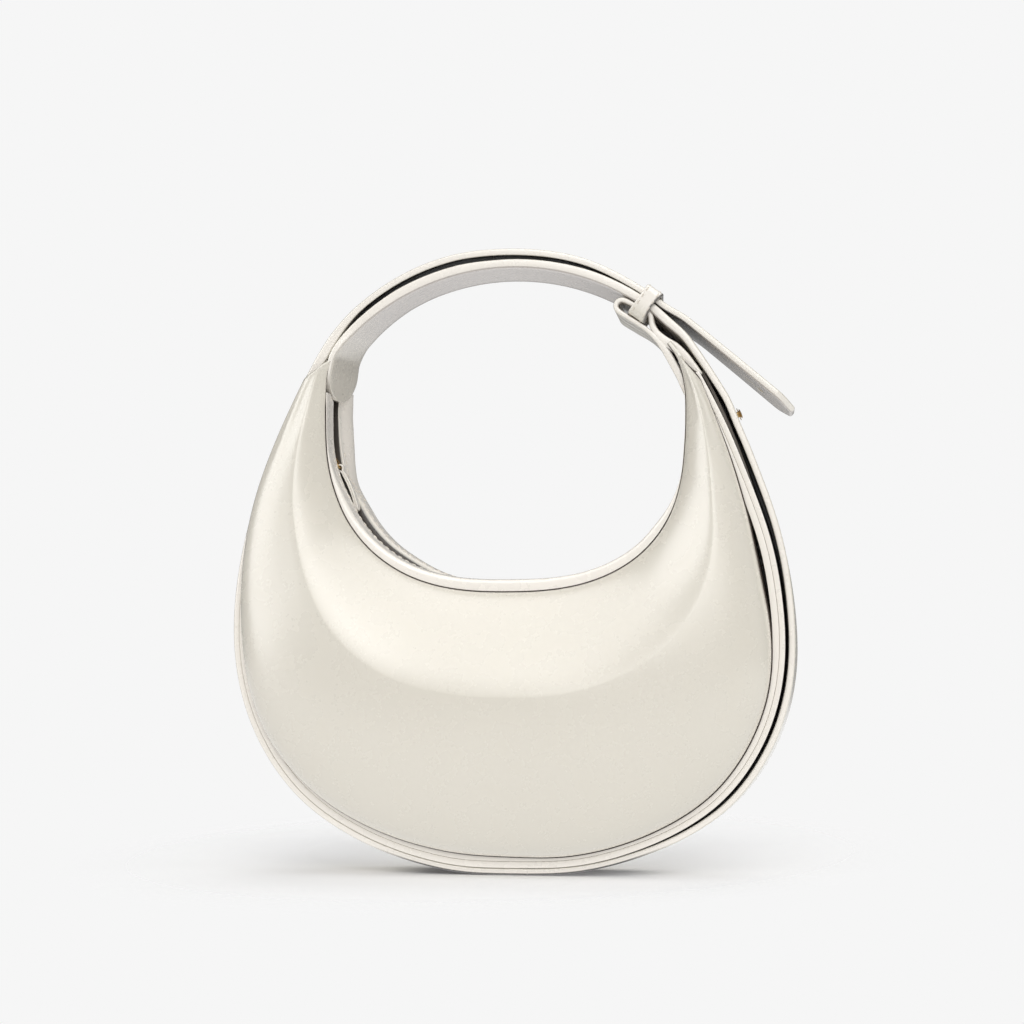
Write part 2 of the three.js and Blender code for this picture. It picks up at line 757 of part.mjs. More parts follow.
// The inner strap runs from the left end of the mouth, under the outer strap, through the keeper and
// down the right side to the same join.
const rightGirth = beltPath.filter(([x]) => x > strapJoinX + strapJoinRun).reverse();
const mouthSide = normals(mouthCurve);
const hornTop = panelInnerTop - tongueUnderHorn;
const leftMouth = shifted(mouthCurve, mouthSide, half)
  .filter(([x, z]) => x < 0 && z > lipEndHeight + tongueOverLip && z < hornTop)
  .reverse();
const strapEndPath = resample(leftMouth, 6);
const innerArc = steps(innerArcBackAngle - hornAngle, tailAngle, 24)
  .map((degrees) => onHandle(degrees, handleMiddle));
const leftTurn = splineThrough([strapEndPath[5], strapEndPath[6], innerArc[0], innerArc[1]], 24)
  .filter(([, z]) => z > strapEndPath[6][1] + half && z < innerArc[0][1] - half)
  .filter((unused, i) => i % 3 === 1);
const rightTop = rightGirth[0];
const lastArc = innerArc[innerArc.length - 1];
const rightTurn = splineThrough([innerArc[23], lastArc, rightTop, rightGirth[1]], 36)
  .filter(([x]) => x > lastArc[0] + half && x < rightTop[0] - half)
  .filter((unused, i) => i % 3 === 1);
const innerPath = [
  ...strapEndPath, ...leftTurn, ...innerArc, ...rightTurn, ...rightGirth,
  [strapJoinX + 2 * seamGap, half],
];
const innerSide = normals(innerPath);
const tongue = [
  tongueTipHalfWidth, tongueMidHalfWidth, tongueRootHalfWidth,
  ...strapEndPath.slice(3).map(() => ringHalfDepth - tongueSideClear),
];
const innerHalf = (i) => (i < tongue.length ? tongue[i] : strapHalfWidth);
const innerStrap = band(
  shifted(innerPath, innerSide, -half), shifted(innerPath, innerSide, half),
  (i) => -innerHalf(i), innerHalf,
);

// A brass stud goes through the belt, far enough below the tail, and is held by a nut in the
// daylight behind it.
const belowTail = ([x, z]) => {
  const turn = radians(tailAngle);
  return squeezed - x * Math.sin(turn) - (z - handleCentreHeight) * Math.cos(turn);
};
const middleOf = (a, b) => [(a[0] + b[0]) / 2, (a[1] + b[1]) / 2];
const studStart = rightGirth.findIndex((point, i) => (
  i > 0 && belowTail(middleOf(rightGirth[i - 1], point)) > studUnderTail
));
const [studA, studB] = [rightGirth[studStart - 1], rightGirth[studStart]];
const [studX, studZ] = middleOf(studA, studB);
const studSlope = new THREE.Vector3(studA[0] - studB[0], 0, studA[1] - studB[1]).normalize();
const studOut = new THREE.Vector3(studSlope.z, 0, -studSlope.x);
const studAcross = new THREE.Vector3().crossVectors(studOut, studSlope);
const studPlace = new THREE.Matrix4().makeBasis(studSlope, studAcross, studOut)
  .setPosition(studX, 0, studZ);
const studHoleRadius = studShank + studFit;
const studHole = new THREE.CylinderGeometry(studHoleRadius, studHoleRadius, 4 * strapThick, 20);
studHole.rotateX(Math.PI / 2).applyMatrix4(studPlace);
addLeather('inner_strap', cut(innerStrap, studHole));

const studFoot = half + studSeat;
const studNeckLow = studFoot + studFlangeThick;
const studHeadLow = studNeckLow + studNeckHigh;
const studProfile = [
  [0, -half - studShankOver],
  [studShank, -half - studShankOver],
  [studShank, studFoot],
  [studFlange, studFoot],
  [studFlange, studNeckLow],
  [studNeck, studNeckLow + studSeat],
  [studNeck, studHeadLow],
  [studHead * 0.8, studHeadLow + studHeadHigh * 0.15],
  [studHead, studHeadLow + studHeadHigh * 0.5],
  [studHead * 0.7, studHeadLow + studHeadHigh * 0.87],
  [0, studHeadLow + studHeadHigh],
].map(([x, y]) => new THREE.Vector2(x, y));
const stud = new THREE.LatheGeometry(studProfile, 14);
addBrass('belt_stud', indexed(stud.rotateX(Math.PI / 2)).applyMatrix4(studPlace));
const nut = new THREE.Shape();
nut.absarc(0, 0, studFlange, 0, Math.PI * 2, false);
const nutHole = new THREE.Path();
nutHole.absarc(0, 0, studHoleRadius, 0, Math.PI * 2, true);
nut.holes.push(nutHole);
const nutFlat = new THREE.ExtrudeGeometry(
  nut, { depth: nutThick, bevelEnabled: false, curveSegments: 6 },
);
nutFlat.translate(0, 0, -half - studSeat - nutThick);
addBrass('belt_stud_nut', indexed(nutFlat).applyMatrix4(studPlace));

// Keeper loop round both straps and the upper leaf of the tab.
const tabUpper = handleInnerRadius - seamGap - tabThick / 2;
const keeperLow = tabUpper - tabThick / 2 - seamGap;
const keeperHigh = squeezed + half + seamGap;
const tabLower = keeperLow - keeperThick - seamGap - tabThick / 2;
const keeperHalf = strapHalfWidth + strapClear;
function roundedRectangle(shape, x0, x1, y0, y1, radius) {
  shape.moveTo(x0 + radius, y0);
  shape.lineTo(x1 - radius, y0);
  shape.absarc(x1 - radius, y0 + radius, radius, -Math.PI / 2, 0, false);
  shape.lineTo(x1, y1 - radius);
  shape.absarc(x1 - radius, y1 - radius, radius, 0, Math.PI / 2, false);
  shape.lineTo(x0 + radius, y1);
  shape.absarc(x0 + radius, y1 - radius, radius, Math.PI / 2, Math.PI, false);
  shape.lineTo(x0, y0 + radius);
  shape.absarc(x0 + radius, y0 + radius, radius, Math.PI, Math.PI * 1.5, false);
  return shape;
}
const keeperShape = roundedRectangle(
  new THREE.Shape(), -keeperHalf - keeperThick, keeperHalf + keeperThick,
  keeperLow - keeperThick, keeperHigh + keeperThick, keeperRound,
);
keeperShape.holes.push(roundedRectangle(
  new THREE.Path(), -keeperHalf, keeperHalf, keeperLow, keeperHigh, seamGap,
));
const keeperFlat = new THREE.ExtrudeGeometry(
  keeperShape, { depth: keeperLong, bevelEnabled: false, curveSegments: 3 },
);
function handleFrame(degrees, radius) {
  const turn = radians(degrees);
  const along = new THREE.Vector3(Math.cos(turn), 0, -Math.sin(turn));
  const out = new THREE.Vector3(Math.sin(turn), 0, Math.cos(turn));
  const [x, z] = onHandle(degrees, radius);
  return new THREE.Matrix4().makeBasis(along, new THREE.Vector3(0, 1, 0), out).setPosition(x, 0, z);
}
const keeperTurn = new THREE.Matrix4().makeBasis(
  new THREE.Vector3(0, 1, 0), new THREE.Vector3(0, 0, 1), new THREE.Vector3(1, 0, 0),
);
keeperFlat.translate(0, 0, -keeperLong / 2).applyMatrix4(keeperTurn);
addLeather('keeper_loop', indexed(keeperFlat).applyMatrix4(handleFrame(keeperAngle, 0)));

// The tab starts at the right end of the mouth, folds round the keeper and runs back to the horn.
const rightMouth = shifted(mouthCurve, mouthSide, tabThick / 2)
  .filter(([x, z]) => x > 0 && z > lipEndHeight + tongueOverLip && z < gussetTop - tabUnderHorn);
const tabRoot = resample(rightMouth, 4);
const lowerArc = steps(tailAngle, tabFoldAngle, 5).map((degrees) => onHandle(degrees, tabLower));
const upperArc = steps(tabFoldAngle, tailAngle, 5).map((degrees) => onHandle(degrees, tabUpper));
const tabTurn = splineThrough([tabRoot[3], tabRoot[4], lowerArc[0], lowerArc[1]], 30)
  .filter(([, z]) => z > tabRoot[4][1] + half && z < lowerArc[0][1] - half)
  .filter((unused, i) => i % 4 === 1);
const foldRadius = (tabUpper - tabLower) / 2;
const foldFrame = handleFrame(tabFoldAngle, tabLower + foldRadius);
const fold = steps(-foldSweepAngle, foldSweepAngle, 6).map((degrees) => {
  const point = new THREE.Vector3(
    -foldRadius * Math.cos(radians(degrees)), 0, foldRadius * Math.sin(radians(degrees)),
  ).applyMatrix4(foldFrame);
  return [point.x, point.z];
});
const upperEnd = upperArc[upperArc.length - 1];
const hornEdge = girth[girth.length - 1];
const tabTip = [hornEdge[0] - tabTipInset, gussetTop + tabTipOver];
const tabMiddle = middleOf(upperEnd, tabTip);
const tabBow = [tabMiddle[0] + tabTipBow, tabMiddle[1] - tabTipBow];
const upperRun = splineThrough([upperArc[4], upperEnd, tabBow, tabTip], 12)
  .filter(([x]) => x > upperEnd[0] + half)
  .filter((unused, i) => i % 2 === 0);
const tabPath = [...tabRoot, ...tabTurn, ...lowerArc, ...fold, ...upperArc, ...upperRun];
const tabSide = normals(tabPath);
const tabWidths = [tongueTipHalfWidth, tongueMidHalfWidth];
const tabHalf = (i) => (i < 2 ? tabWidths[i] : strapHalfWidth - tabNarrower);
addLeather('keeper_tab', band(
  shifted(tabPath, tabSide, -tabThick / 2), shifted(tabPath, tabSide, tabThick / 2),
  (i) => -tabHalf(i), tabHalf,
));

// The free tail of the outer strap leaves the keeper and twists a little toward the front.
const tailStations = [
  ...steps(0, 0.86, 12), 0.9, 0.94, 0.97, 1,
];
const tailSections = tailStations.map((share) => {
  const along = share * tailLong;
  const drop = -tailDroop * share ** 2;
  const twist = radians(tailTwistAngle) * share;
  const tip = smooth(share, 0.84, 1);
  const reach = THREE.MathUtils.lerp(strapHalfWidth, tailTipHalfWidth, tip ** 2);
  const corner = (y, z) => [
    along,
    y * Math.cos(twist) + z * Math.sin(twist),
    drop - y * Math.sin(twist) + z * Math.cos(twist),
  ];
  return [corner(-reach, -half), corner(-reach, half), corner(reach, half), corner(reach, -half)];
});
const tailRoot = new THREE.CylinderGeometry(half, half, 2 * strapHalfWidth, 16);
const buttonholeRadius = studNeck + 3 * studFit;
const buttonhole = new THREE.CylinderGeometry(buttonholeRadius, buttonholeRadius, 6 * strapThick, 16);
buttonhole.rotateX(Math.PI / 2).translate(buttonholeAt, 0, 0);
const slit = block(
  buttonholeAt - slitLong, buttonholeAt, -slitHalfWidth, slitHalfWidth,
  -3 * strapThick, 3 * strapThick,
);
const tail = cut(cut(joined([loft(tailSections, quadCaps), tailRoot]), buttonhole), slit);
addLeather('strap_tail', tail.applyMatrix4(handleFrame(tailAngle, squeezed)));

export default group;
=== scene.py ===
import json
import math

import bpy
import numpy as np
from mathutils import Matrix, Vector

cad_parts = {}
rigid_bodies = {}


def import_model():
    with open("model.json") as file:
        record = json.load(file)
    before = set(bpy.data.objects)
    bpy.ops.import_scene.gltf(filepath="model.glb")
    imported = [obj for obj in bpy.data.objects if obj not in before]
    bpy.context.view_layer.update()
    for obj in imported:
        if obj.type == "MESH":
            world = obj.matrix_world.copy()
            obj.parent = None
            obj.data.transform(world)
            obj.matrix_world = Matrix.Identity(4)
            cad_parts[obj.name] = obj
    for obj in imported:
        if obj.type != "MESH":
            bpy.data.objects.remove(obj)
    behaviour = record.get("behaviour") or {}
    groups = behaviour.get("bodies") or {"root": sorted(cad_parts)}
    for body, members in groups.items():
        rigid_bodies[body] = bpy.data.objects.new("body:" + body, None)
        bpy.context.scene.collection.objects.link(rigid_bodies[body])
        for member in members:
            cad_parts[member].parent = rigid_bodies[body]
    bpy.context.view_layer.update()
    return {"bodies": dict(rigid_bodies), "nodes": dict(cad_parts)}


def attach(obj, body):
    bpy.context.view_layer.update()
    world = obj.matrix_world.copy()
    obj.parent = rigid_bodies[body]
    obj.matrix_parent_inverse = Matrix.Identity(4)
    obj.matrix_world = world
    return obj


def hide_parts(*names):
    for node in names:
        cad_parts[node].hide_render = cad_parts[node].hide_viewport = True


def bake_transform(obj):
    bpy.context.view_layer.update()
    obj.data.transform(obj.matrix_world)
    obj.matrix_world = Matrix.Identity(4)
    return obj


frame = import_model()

# Metres, +Z up, the front faces -Y. Shapes are worked out in millimetres and scaled at the end.
MM = 0.001
kept = set(frame["nodes"].values()) | set(frame["bodies"].values())
for stray in [o for o in bpy.data.objects if o not in kept]:
    bpy.data.objects.remove(stray)

# Sizes of the solids, in millimetres and degrees.
BODY_HALF_WIDTH = 120.6
BODY_WIDEST = 107.0
BASE_SINK = 2.4
HORN_RISE = 114.0
HORN_LEAN = 33.03
LOWER_SQUARE = 2.2
UPPER_SQUARE = 1.7
RING_HALF = 19.0
GUSSET_THICK = 2.6
STIFF_THICK = 1.2
LINING_THICK = 0.8
WELT_THICK = 2.6
WELT_DEPTH = 5.0
GAP = 0.3
MOUTH_INSET = 7.27
MOUTH_LIFT = 95.0
MOUTH_FLATTEN = 2.2
MOUTH_RISE = 52.0
MOUTH_SQUARE = 2.55
PANEL_THICK = 1.8
PANEL_BULGE = 24.0
PANEL_TUCK = 4.0
CREST_SHARE = 0.4
PANEL_UPPER_SQUARE = 1.32
PANEL_LOWER_SQUARE = 2.5
TIP_BULGE = 2.5
TIP_SHARE = 0.08
LIP_RISE = 5.3
LIP_END_RISE = 0.8
LIP_END_DEPTH = 4.0
LIP_HALF_GAP = 4.0
LIP_END_LIFT = 4.0
LIP_ROUND = 1.9
LIP_STEP_CLEAR = 0.8
ZIP_CENTRE_LIFT = 7.0
TAPE_THICK = 0.9
TAPE_WIDTH = 8.4
TAPE_EDGE = 3.2
ZIP_END_ANGLE = 8.0
STRAP_THICK = 3.0
STRAP_HALF = 18.0
STRAP_CLEAR = 0.4
SIDE_DAYLIGHT = 1.5
HANDLE_DROP = 57.5
HORN_INSET = 1.46
HANDLE_DAYLIGHT = 1.7
STRAP_JOIN = 8.0
TAIL_OVER_HORN = 7.97
KEEPER_BACK = 4.3
FOLD_BACK = 9.3
KEEPER_LONG = 9.0
KEEPER_THICK = 1.8
TAB_THICK = 2.4
TAIL_LONG = 70.6
TAIL_DROOP = 0.6
TAIL_TWIST = 1.0
TAIL_TIP_HALF = 8.0
BUTTONHOLE_AT = 53.0

# What follows from them.
BODY_DROP = BODY_WIDEST - BASE_SINK
GUSSET_TOP = BODY_WIDEST + HORN_RISE
HORN_HALF = BODY_HALF_WIDTH - HORN_LEAN
BODY_RISE = HORN_RISE / (1 - (HORN_HALF / BODY_HALF_WIDTH) ** UPPER_SQUARE) ** (1 / UPPER_SQUARE)
MOUTH_HALF = HORN_HALF - MOUTH_INSET
MOUTH_DROP = MOUTH_HALF - MOUTH_FLATTEN
MOUTH_CENTRE = BODY_WIDEST + MOUTH_LIFT
PANEL_INNER_TOP = GUSSET_TOP + 6.0
PANEL_OUTER_TOP = GUSSET_TOP - 3.5
LIP_END = MOUTH_CENTRE + LIP_END_LIFT
ZIP_CENTRE = MOUTH_CENTRE + ZIP_CENTRE_LIFT
HANDLE_CENTRE = GUSSET_TOP - HANDLE_DROP
HORN_REACH = math.hypot(HORN_HALF, HANDLE_DROP)
HANDLE_INNER = HORN_REACH - HORN_INSET
BASE_HEIGHT = STRAP_THICK + STRAP_CLEAR
HALF = STRAP_THICK / 2
HANDLE_MIDDLE = HANDLE_INNER + HALF
OUTER_MIDDLE = HANDLE_MIDDLE + STRAP_THICK + HANDLE_DAYLIGHT
SQUEEZED = HANDLE_MIDDLE + STRAP_THICK + STRAP_CLEAR
HORN_ANGLE = math.degrees(math.atan2(HORN_HALF, HANDLE_DROP))
TAIL_ANGLE = HORN_ANGLE - math.degrees(math.acos((SQUEEZED - TAIL_OVER_HORN) / HORN_REACH))
KEEPER_ANGLE = TAIL_ANGLE - KEEPER_BACK
FOLD_ANGLE = TAIL_ANGLE - FOLD_BACK


# Small helpers

def lerp(a, b, t):
    return a + (b - a) * t


def smooth(x, low, high):
    t = np.clip((np.asarray(x, float) - low) / (high - low), 0, 1)
    return t * t * (3 - 2 * t)


def unit(v):
    return v / np.maximum(np.linalg.norm(v, axis=-1, keepdims=True), 1e-12)


def runs(points):
    steps = np.linalg.norm(np.diff(points, axis=0), axis=1)
    return np.concatenate([[0], np.cumsum(steps)])


def at_run(at, s, values):
    """Rows of values at some distances, from those at the distances s."""
    return np.stack([np.interp(at, s, values[:, k]) for k in range(values.shape[1])], -1)


def along(points, share):
    s = runs(points)
    return at_run(np.clip(share, 0, 1) * s[-1], s, points)


def evenly(points, count):
    return along(points, np.linspace(0, 1, count + 1))


def sides(points):
    """Unit normals to the right of the way a plane curve runs."""
    d = unit(np.gradient(points, axis=0))
    return np.stack([d[:, 1], -d[:, 0]], 1)


def flowing(points, step=1.3, calm=2.2):
    """A dense and calm curve through the points."""
    s = runs(points)
    keep = np.concatenate([[True], np.diff(s) > 0.2])
    points, s = points[keep], s[keep]
    h = np.diff(s)[:, None]
    slope = np.diff(points, axis=0) / h
    m = np.empty_like(points)
    m[1:-1] = (slope[1:] * h[:-1] + slope[:-1] * h[1:]) / (h[1:] + h[:-1])
    m[0], m[-1] = slope[0], slope[-1]
    at = np.linspace(0, s[-1], max(8, int(s[-1] / step)))
    i = np.clip(np.searchsorted(s, at, side="right") - 1, 0, len(s) - 2)
    w = ((at - s[i]) / (s[i + 1] - s[i]))[:, None]
    hh = (s[i + 1] - s[i])[:, None]
    out = ((2 * w**3 - 3 * w**2 + 1) * points[i] + (w**3 - 2 * w**2 + w) * hh * m[i]
           + (3 * w**2 - 2 * w**3) * points[i + 1] + (w**3 - w**2) * hh * m[i + 1])
    reach = int(3 * calm / step)
    kernel = np.exp(-0.5 * (np.arange(-reach, reach + 1) * step / calm) ** 2)
    kernel /= kernel.sum()
    before = 2 * out[0] - out[1:reach + 1][::-1]
    after = 2 * out[-1] - out[-reach - 1:-1][::-1]
    long = np.concatenate([before, out, after])
    calmed = [np.convolve(long[:, k], kernel, "valid") for k in range(out.shape[1])]
    return evenly(np.stack(calmed, 1), len(out) - 1)


def quarter(half_width, rise, power, count=900):
    a = np.linspace(0, np.pi / 2, count + 1)
    return np.stack([half_width * np.cos(a) ** (2 / power), rise * np.sin(a) ** (2 / power)], 1)


def ring_outline(half_width, centre, drop, drop_power, rise, rise_power, top):
    """Down the left side, along the bottom and up the right side."""
    low = quarter(half_width, drop, drop_power)[::-1] * [1, -1] + [0, centre]
    high = quarter(half_width, rise, rise_power)[1:] + [0, centre]
    right = np.concatenate([low, high])
    n = int(np.argmax(right[:, 1] >= top))
    part = (top - right[n - 1, 1]) / (right[n, 1] - right[n - 1, 1])
    right = np.concatenate([right[:n], [lerp(right[n - 1], right[n], part)]])
    return np.concatenate([right[1:][::-1] * [-1, 1], right])


def frame_matrix(x_axis, y_axis, z_axis, origin):
    m = np.eye(4)
    m[:3, 0], m[:3, 1], m[:3, 2], m[:3, 3] = x_axis, y_axis, z_axis, origin
    return m


def placed(points, m):
    return np.asarray(points, float) @ m[:3, :3].T + m[:3, 3]


# Meshes

def make(name, points, faces, material, body="bag", node=None, slot=None, values=None, sharp=None):
    """One smooth-shaded piece that rides on a body and stands for a node."""
    mesh = bpy.data.meshes.new(name)
    mesh.from_pydata((np.asarray(points, float).reshape(-1, 3) * MM).tolist(), [], faces)
    mesh.validate()
    for key, value in (values or {}).items():
        kind, field = ("FLOAT_VECTOR", "vector") if key == "run" else ("FLOAT", "value")
        data = mesh.attributes.new(key, kind, "POINT").data
        data.foreach_set(field, np.asarray(value, np.float32).ravel())
    mesh.polygons.foreach_set("use_smooth", [True] * len(mesh.polygons))
    if sharp:
        mesh.set_sharp_from_angle(angle=math.radians(sharp))
    obj = bpy.data.objects.new(name, mesh)
    bpy.context.scene.collection.objects.link(obj)
    mesh.materials.append(material)
    if body:
        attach(obj, body)
    if node:
        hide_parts(node)
    return obj


def outward(points, faces):
    """The faces, turned over if the closed skin faces in."""
    p = np.asarray(points, float).reshape(-1, 3)
    p = p - p.mean(0)
    volume = 0.0
    for size in {len(face) for face in faces}:
        ring = p[np.array([face for face in faces if len(face) == size])]
        for k in range(1, size - 1):
            volume += np.einsum("ij,ij->", ring[:, 0], np.cross(ring[:, k], ring[:, k + 1]))
    return faces if volume > 0 else [list(face)[::-1] for face in faces]


def loft(sections, closed=False, capped=True):
    """Points and faces of a skin over a row of closed sections."""
    n, m = sections.shape[:2]
    i = np.arange(n if closed else n - 1)[:, None]
    j = np.arange(m)[None, :]
    a, b = i * m + j, i * m + (j + 1) % m
    c, d = ((i + 1) % n) * m + (j + 1) % m, ((i + 1) % n) * m + j
    faces = np.stack([a, b, c, d], -1).reshape(-1, 4).tolist()
    if capped and not closed:
        faces.append(list(range(m))[::-1])
        faces.append(list(range((n - 1) * m, n * m)))
    points = sections.reshape(-1, 3)
    return points, outward(points, faces)


def gathered(parts):
    """Several skins as one mesh."""
    points, faces, start = [], [], 0
    for p, f in parts:
        p = np.asarray(p, float).reshape(-1, 3)
        points.append(p)
        faces += [[k + start for k in face] for face in f]
        start += len(p)
    return np.concatenate(points), faces


def section_shape(arc=5, across=9):
    """A rounded rectangle: signs and turns of each point, and how far it faces outward."""
    rows = []
    for (sa, sb), start in zip([(1, 1), (-1, 1), (-1, -1), (1, -1)], (0, 90, 180, 270)):
        for k in range(arc + 1):
            turn = math.radians(start + 90 * k / arc)
            rows.append((sa, math.cos(turn), sb, math.sin(turn), math.cos(turn)))
        if start in (90, 270):
            for k in range(1, across):
                rows.append((sa, sa, lerp(sb, -sb, k / across), 0.0, float(sa)))
    return np.array(rows).T


SECTION = section_shape()
FACING = SECTION[4]


def rounded_section(depth, width, corner):
    """Offsets through the thickness and across the width, for half sizes and a corner radius."""
    sa, ca, sb, cb, _ = SECTION
    return sa * (depth - corner) + ca * corner, sb * (width - corner) + cb * corner


def leaning(lean, y):
    """Shift along x at a depth, for a strap whose back edge is shifted by the lean."""
    return lean * (y + STRAP_HALF) / (2 * STRAP_HALF)


def ribbon(path, half_width, thick, middle=0.0, corner=0.8, ends=0.3, lean=0.0):
    """Sections of a strip that follows a plane path, its outer face to the right of the path.
    Its back edge is moved along x by the lean. Returns the sections, the run along each
    and how far each point faces outward."""
    path = np.asarray(path, float)
    side = sides(path)
    ahead = np.stack([-side[:, 1], side[:, 0]], 1)
    turns = np.radians([90, 60, 30, 0])
    shift = (ends * (1 - np.sin(turns)))[:, None]
    take = ends * (1 - np.cos(turns))
    s = runs(path)
    keep = (s > ends * 1.2) & (s < s[-1] - ends * 1.2)

    def ended(v, less=0.0):
        v = np.broadcast_to(np.asarray(v, float), (len(s), *np.shape(v)[1:]))
        first, last = np.repeat(v[:1], 4, 0), np.repeat(v[-1:], 4, 0)
        return np.concatenate([first - less, v[keep], last - np.flip(less)])

    path = np.concatenate([path[0] + ahead[0] * shift, path[keep], path[-1] - ahead[-1] * shift[::-1]])
    side = ended(side)[:, None]
    width, depth = ended(half_width, take), ended(np.asarray(thick, float) / 2, take)
    r = np.minimum(corner, np.minimum(depth, width) * 0.98)[:, None]
    a, b = rounded_section(depth[:, None], width[:, None], r)
    y = ended(middle)[:, None] + b
    x = path[:, None, 0] + side[..., 0] * a + leaning(ended(lean)[:, None], y)
    sections = np.stack([x, y, path[:, None, 1] + side[..., 1] * a], -1)
    run = np.stack([(runs(path)[:, None] + 0 * b) * MM, b * MM, 0 * b], -1)
    return sections, run, np.broadcast_to(FACING, a.shape)


def edge_of(facing):
    return smooth(1 - np.abs(facing), 0.25, 0.6)


def tube(points, radius, closed=False, count=10):
    """Sections of a round wire along points in space."""
    p = np.asarray(points, float)
    n = len(p)
    if closed:
        t = unit(np.roll(p, -1, 0) - np.roll(p, 1, 0))
    else:
        t = unit(np.gradient(p, axis=0))
    start = np.array([0.0, 1.0, 0.0]) if abs(t[0, 1]) < 0.9 else np.array([1.0, 0, 0])
    u = np.empty_like(p)
    u[0] = unit(start - t[0] * (start @ t[0]))
    for k in range(1, n):
        u[k] = unit(u[k - 1] - t[k] * (u[k - 1] @ t[k]))
    v = np.cross(t, u)
    a = np.linspace(0, 2 * np.pi, count, endpoint=False)
    r = np.broadcast_to(np.asarray(radius, float), (n,))[:, None, None]
    return p[:, None] + r * (u[:, None] * np.cos(a)[None, :, None] + v[:, None] * np.sin(a)[None, :, None])


def slab(outline, low, high, bevel):
    """A plate with softened edges, from a plane outline that runs counter-clockwise."""
    o = np.asarray(outline, float)
    d = unit(np.roll(o, -1, 0) - np.roll(o, 1, 0))
    inward = np.stack([-d[:, 1], d[:, 0]], 1)
    rows = [(bevel, low), (bevel * 0.3, low + bevel * 0.3), (0, low + bevel),
            (0, high - bevel), (bevel * 0.3, high - bevel * 0.3), (bevel, high)]
    sections = np.array([np.column_stack([o + inward * inset, np.full(len(o), z)]) for inset, z in rows])
    return loft(sections)


def rounded_outline(half_x, half_y, radius, count=5, centre=(0, 0)):
    points = []
    for k, (sx, sy) in enumerate([(1, -1), (1, 1), (-1, 1), (-1, -1)]):
        for i in range(count + 1):
            turn = math.radians(-90 + 90 * k + 90 * i / count)
            points.append((centre[0] + sx * (half_x - radius) + radius * math.cos(turn),
                           centre[1] + sy * (half_y - radius) + radius * math.sin(turn)))
    return np.array(points)


def lathe(profile, count=48):
    a = np.linspace(0, 2 * np.pi, count, endpoint=False)
    sections = np.array([[(r * math.cos(t), r * math.sin(t), z) for t in a] for r, z in profile])
    return loft(sections)


# Materials

def fill(tree, socket, value):
    """Links an output to a socket, or sets the socket's own value."""
    if isinstance(value, bpy.types.NodeSocket):
        tree.links.new(value, socket)
    else:
        socket.default_value = value


def add(tree, kind, *values, settings=None, **inputs):
    """A node with its settings, its first inputs in order and other inputs by name."""
    node = tree.nodes.new(kind)
    for key, value in (settings or {}).items():
        setattr(node, key, value)
    for k, value in enumerate(values):
        fill(tree, node.inputs[k], value)
    for key, value in inputs.items():
        fill(tree, node.inputs[key.replace("_", " ")], value)
    return node


def maths(tree, operation, *values):
    return add(tree, "ShaderNodeMath", *values, settings={"operation": operation}).outputs[0]


def mixed(tree, factor, a, b):
    node = add(tree, "ShaderNodeMix", settings={"data_type": "RGBA"})
    for k, value in ((0, factor), (6, a), (7, b)):
        fill(tree, node.inputs[k], value)
    return node.outputs[2]


def ranged(tree, value, low, high, to_low, to_high):
    return add(tree, "ShaderNodeMapRange", value, low, high, to_low, to_high).outputs["Result"]


def noise(tree, place, scale, detail, **more):
    return add(tree, "ShaderNodeTexNoise", Vector=place, Scale=scale, Detail=detail, **more).outputs["Fac"]


def marked(tree, name, output="Fac"):
    """A value that the mesh carries at its points."""
    return add(tree, "ShaderNodeAttribute", settings={"attribute_name": name}).outputs[output]


def colour(tint):
    return (*tint, 1.0)


def surface(name):
    """A new material, its nodes, its shader and the place on the object."""
    material = bpy.data.materials.new(name)
    material.use_nodes = True
    tree = material.node_tree
    return material, tree, tree.nodes["Principled BSDF"], add(tree, "ShaderNodeTexCoord").outputs["Object"]


def finish_shader(tree, bsdf, base, rough, height=None, strength=0.0, distance=0.0, **uniform):
    """Gives a shader its colour, roughness, relief and uniform values."""
    fill(tree, bsdf.inputs["Base Color"], base)
    fill(tree, bsdf.inputs["Roughness"], rough)
    if height is not None:
        bump = add(tree, "ShaderNodeBump", Height=height, Strength=strength, Distance=distance)
        fill(tree, bsdf.inputs["Normal"], bump.outputs["Normal"])
    for key, value in uniform.items():
        bsdf.inputs[key.replace("_", " ")].default_value = value


CREAM = (0.713, 0.674, 0.587)
PALE_EDGE = (0.9, 0.85, 0.775)
# SHADED and the near-black tone below are painted shade: greyish on faces turned from the light, near-black in gaps,
# folds and under the base.
SHADED = (0.51, 0.46, 0.425)
PAINTED_SHADE_TONE = (0.016, 0.009, 0.006)


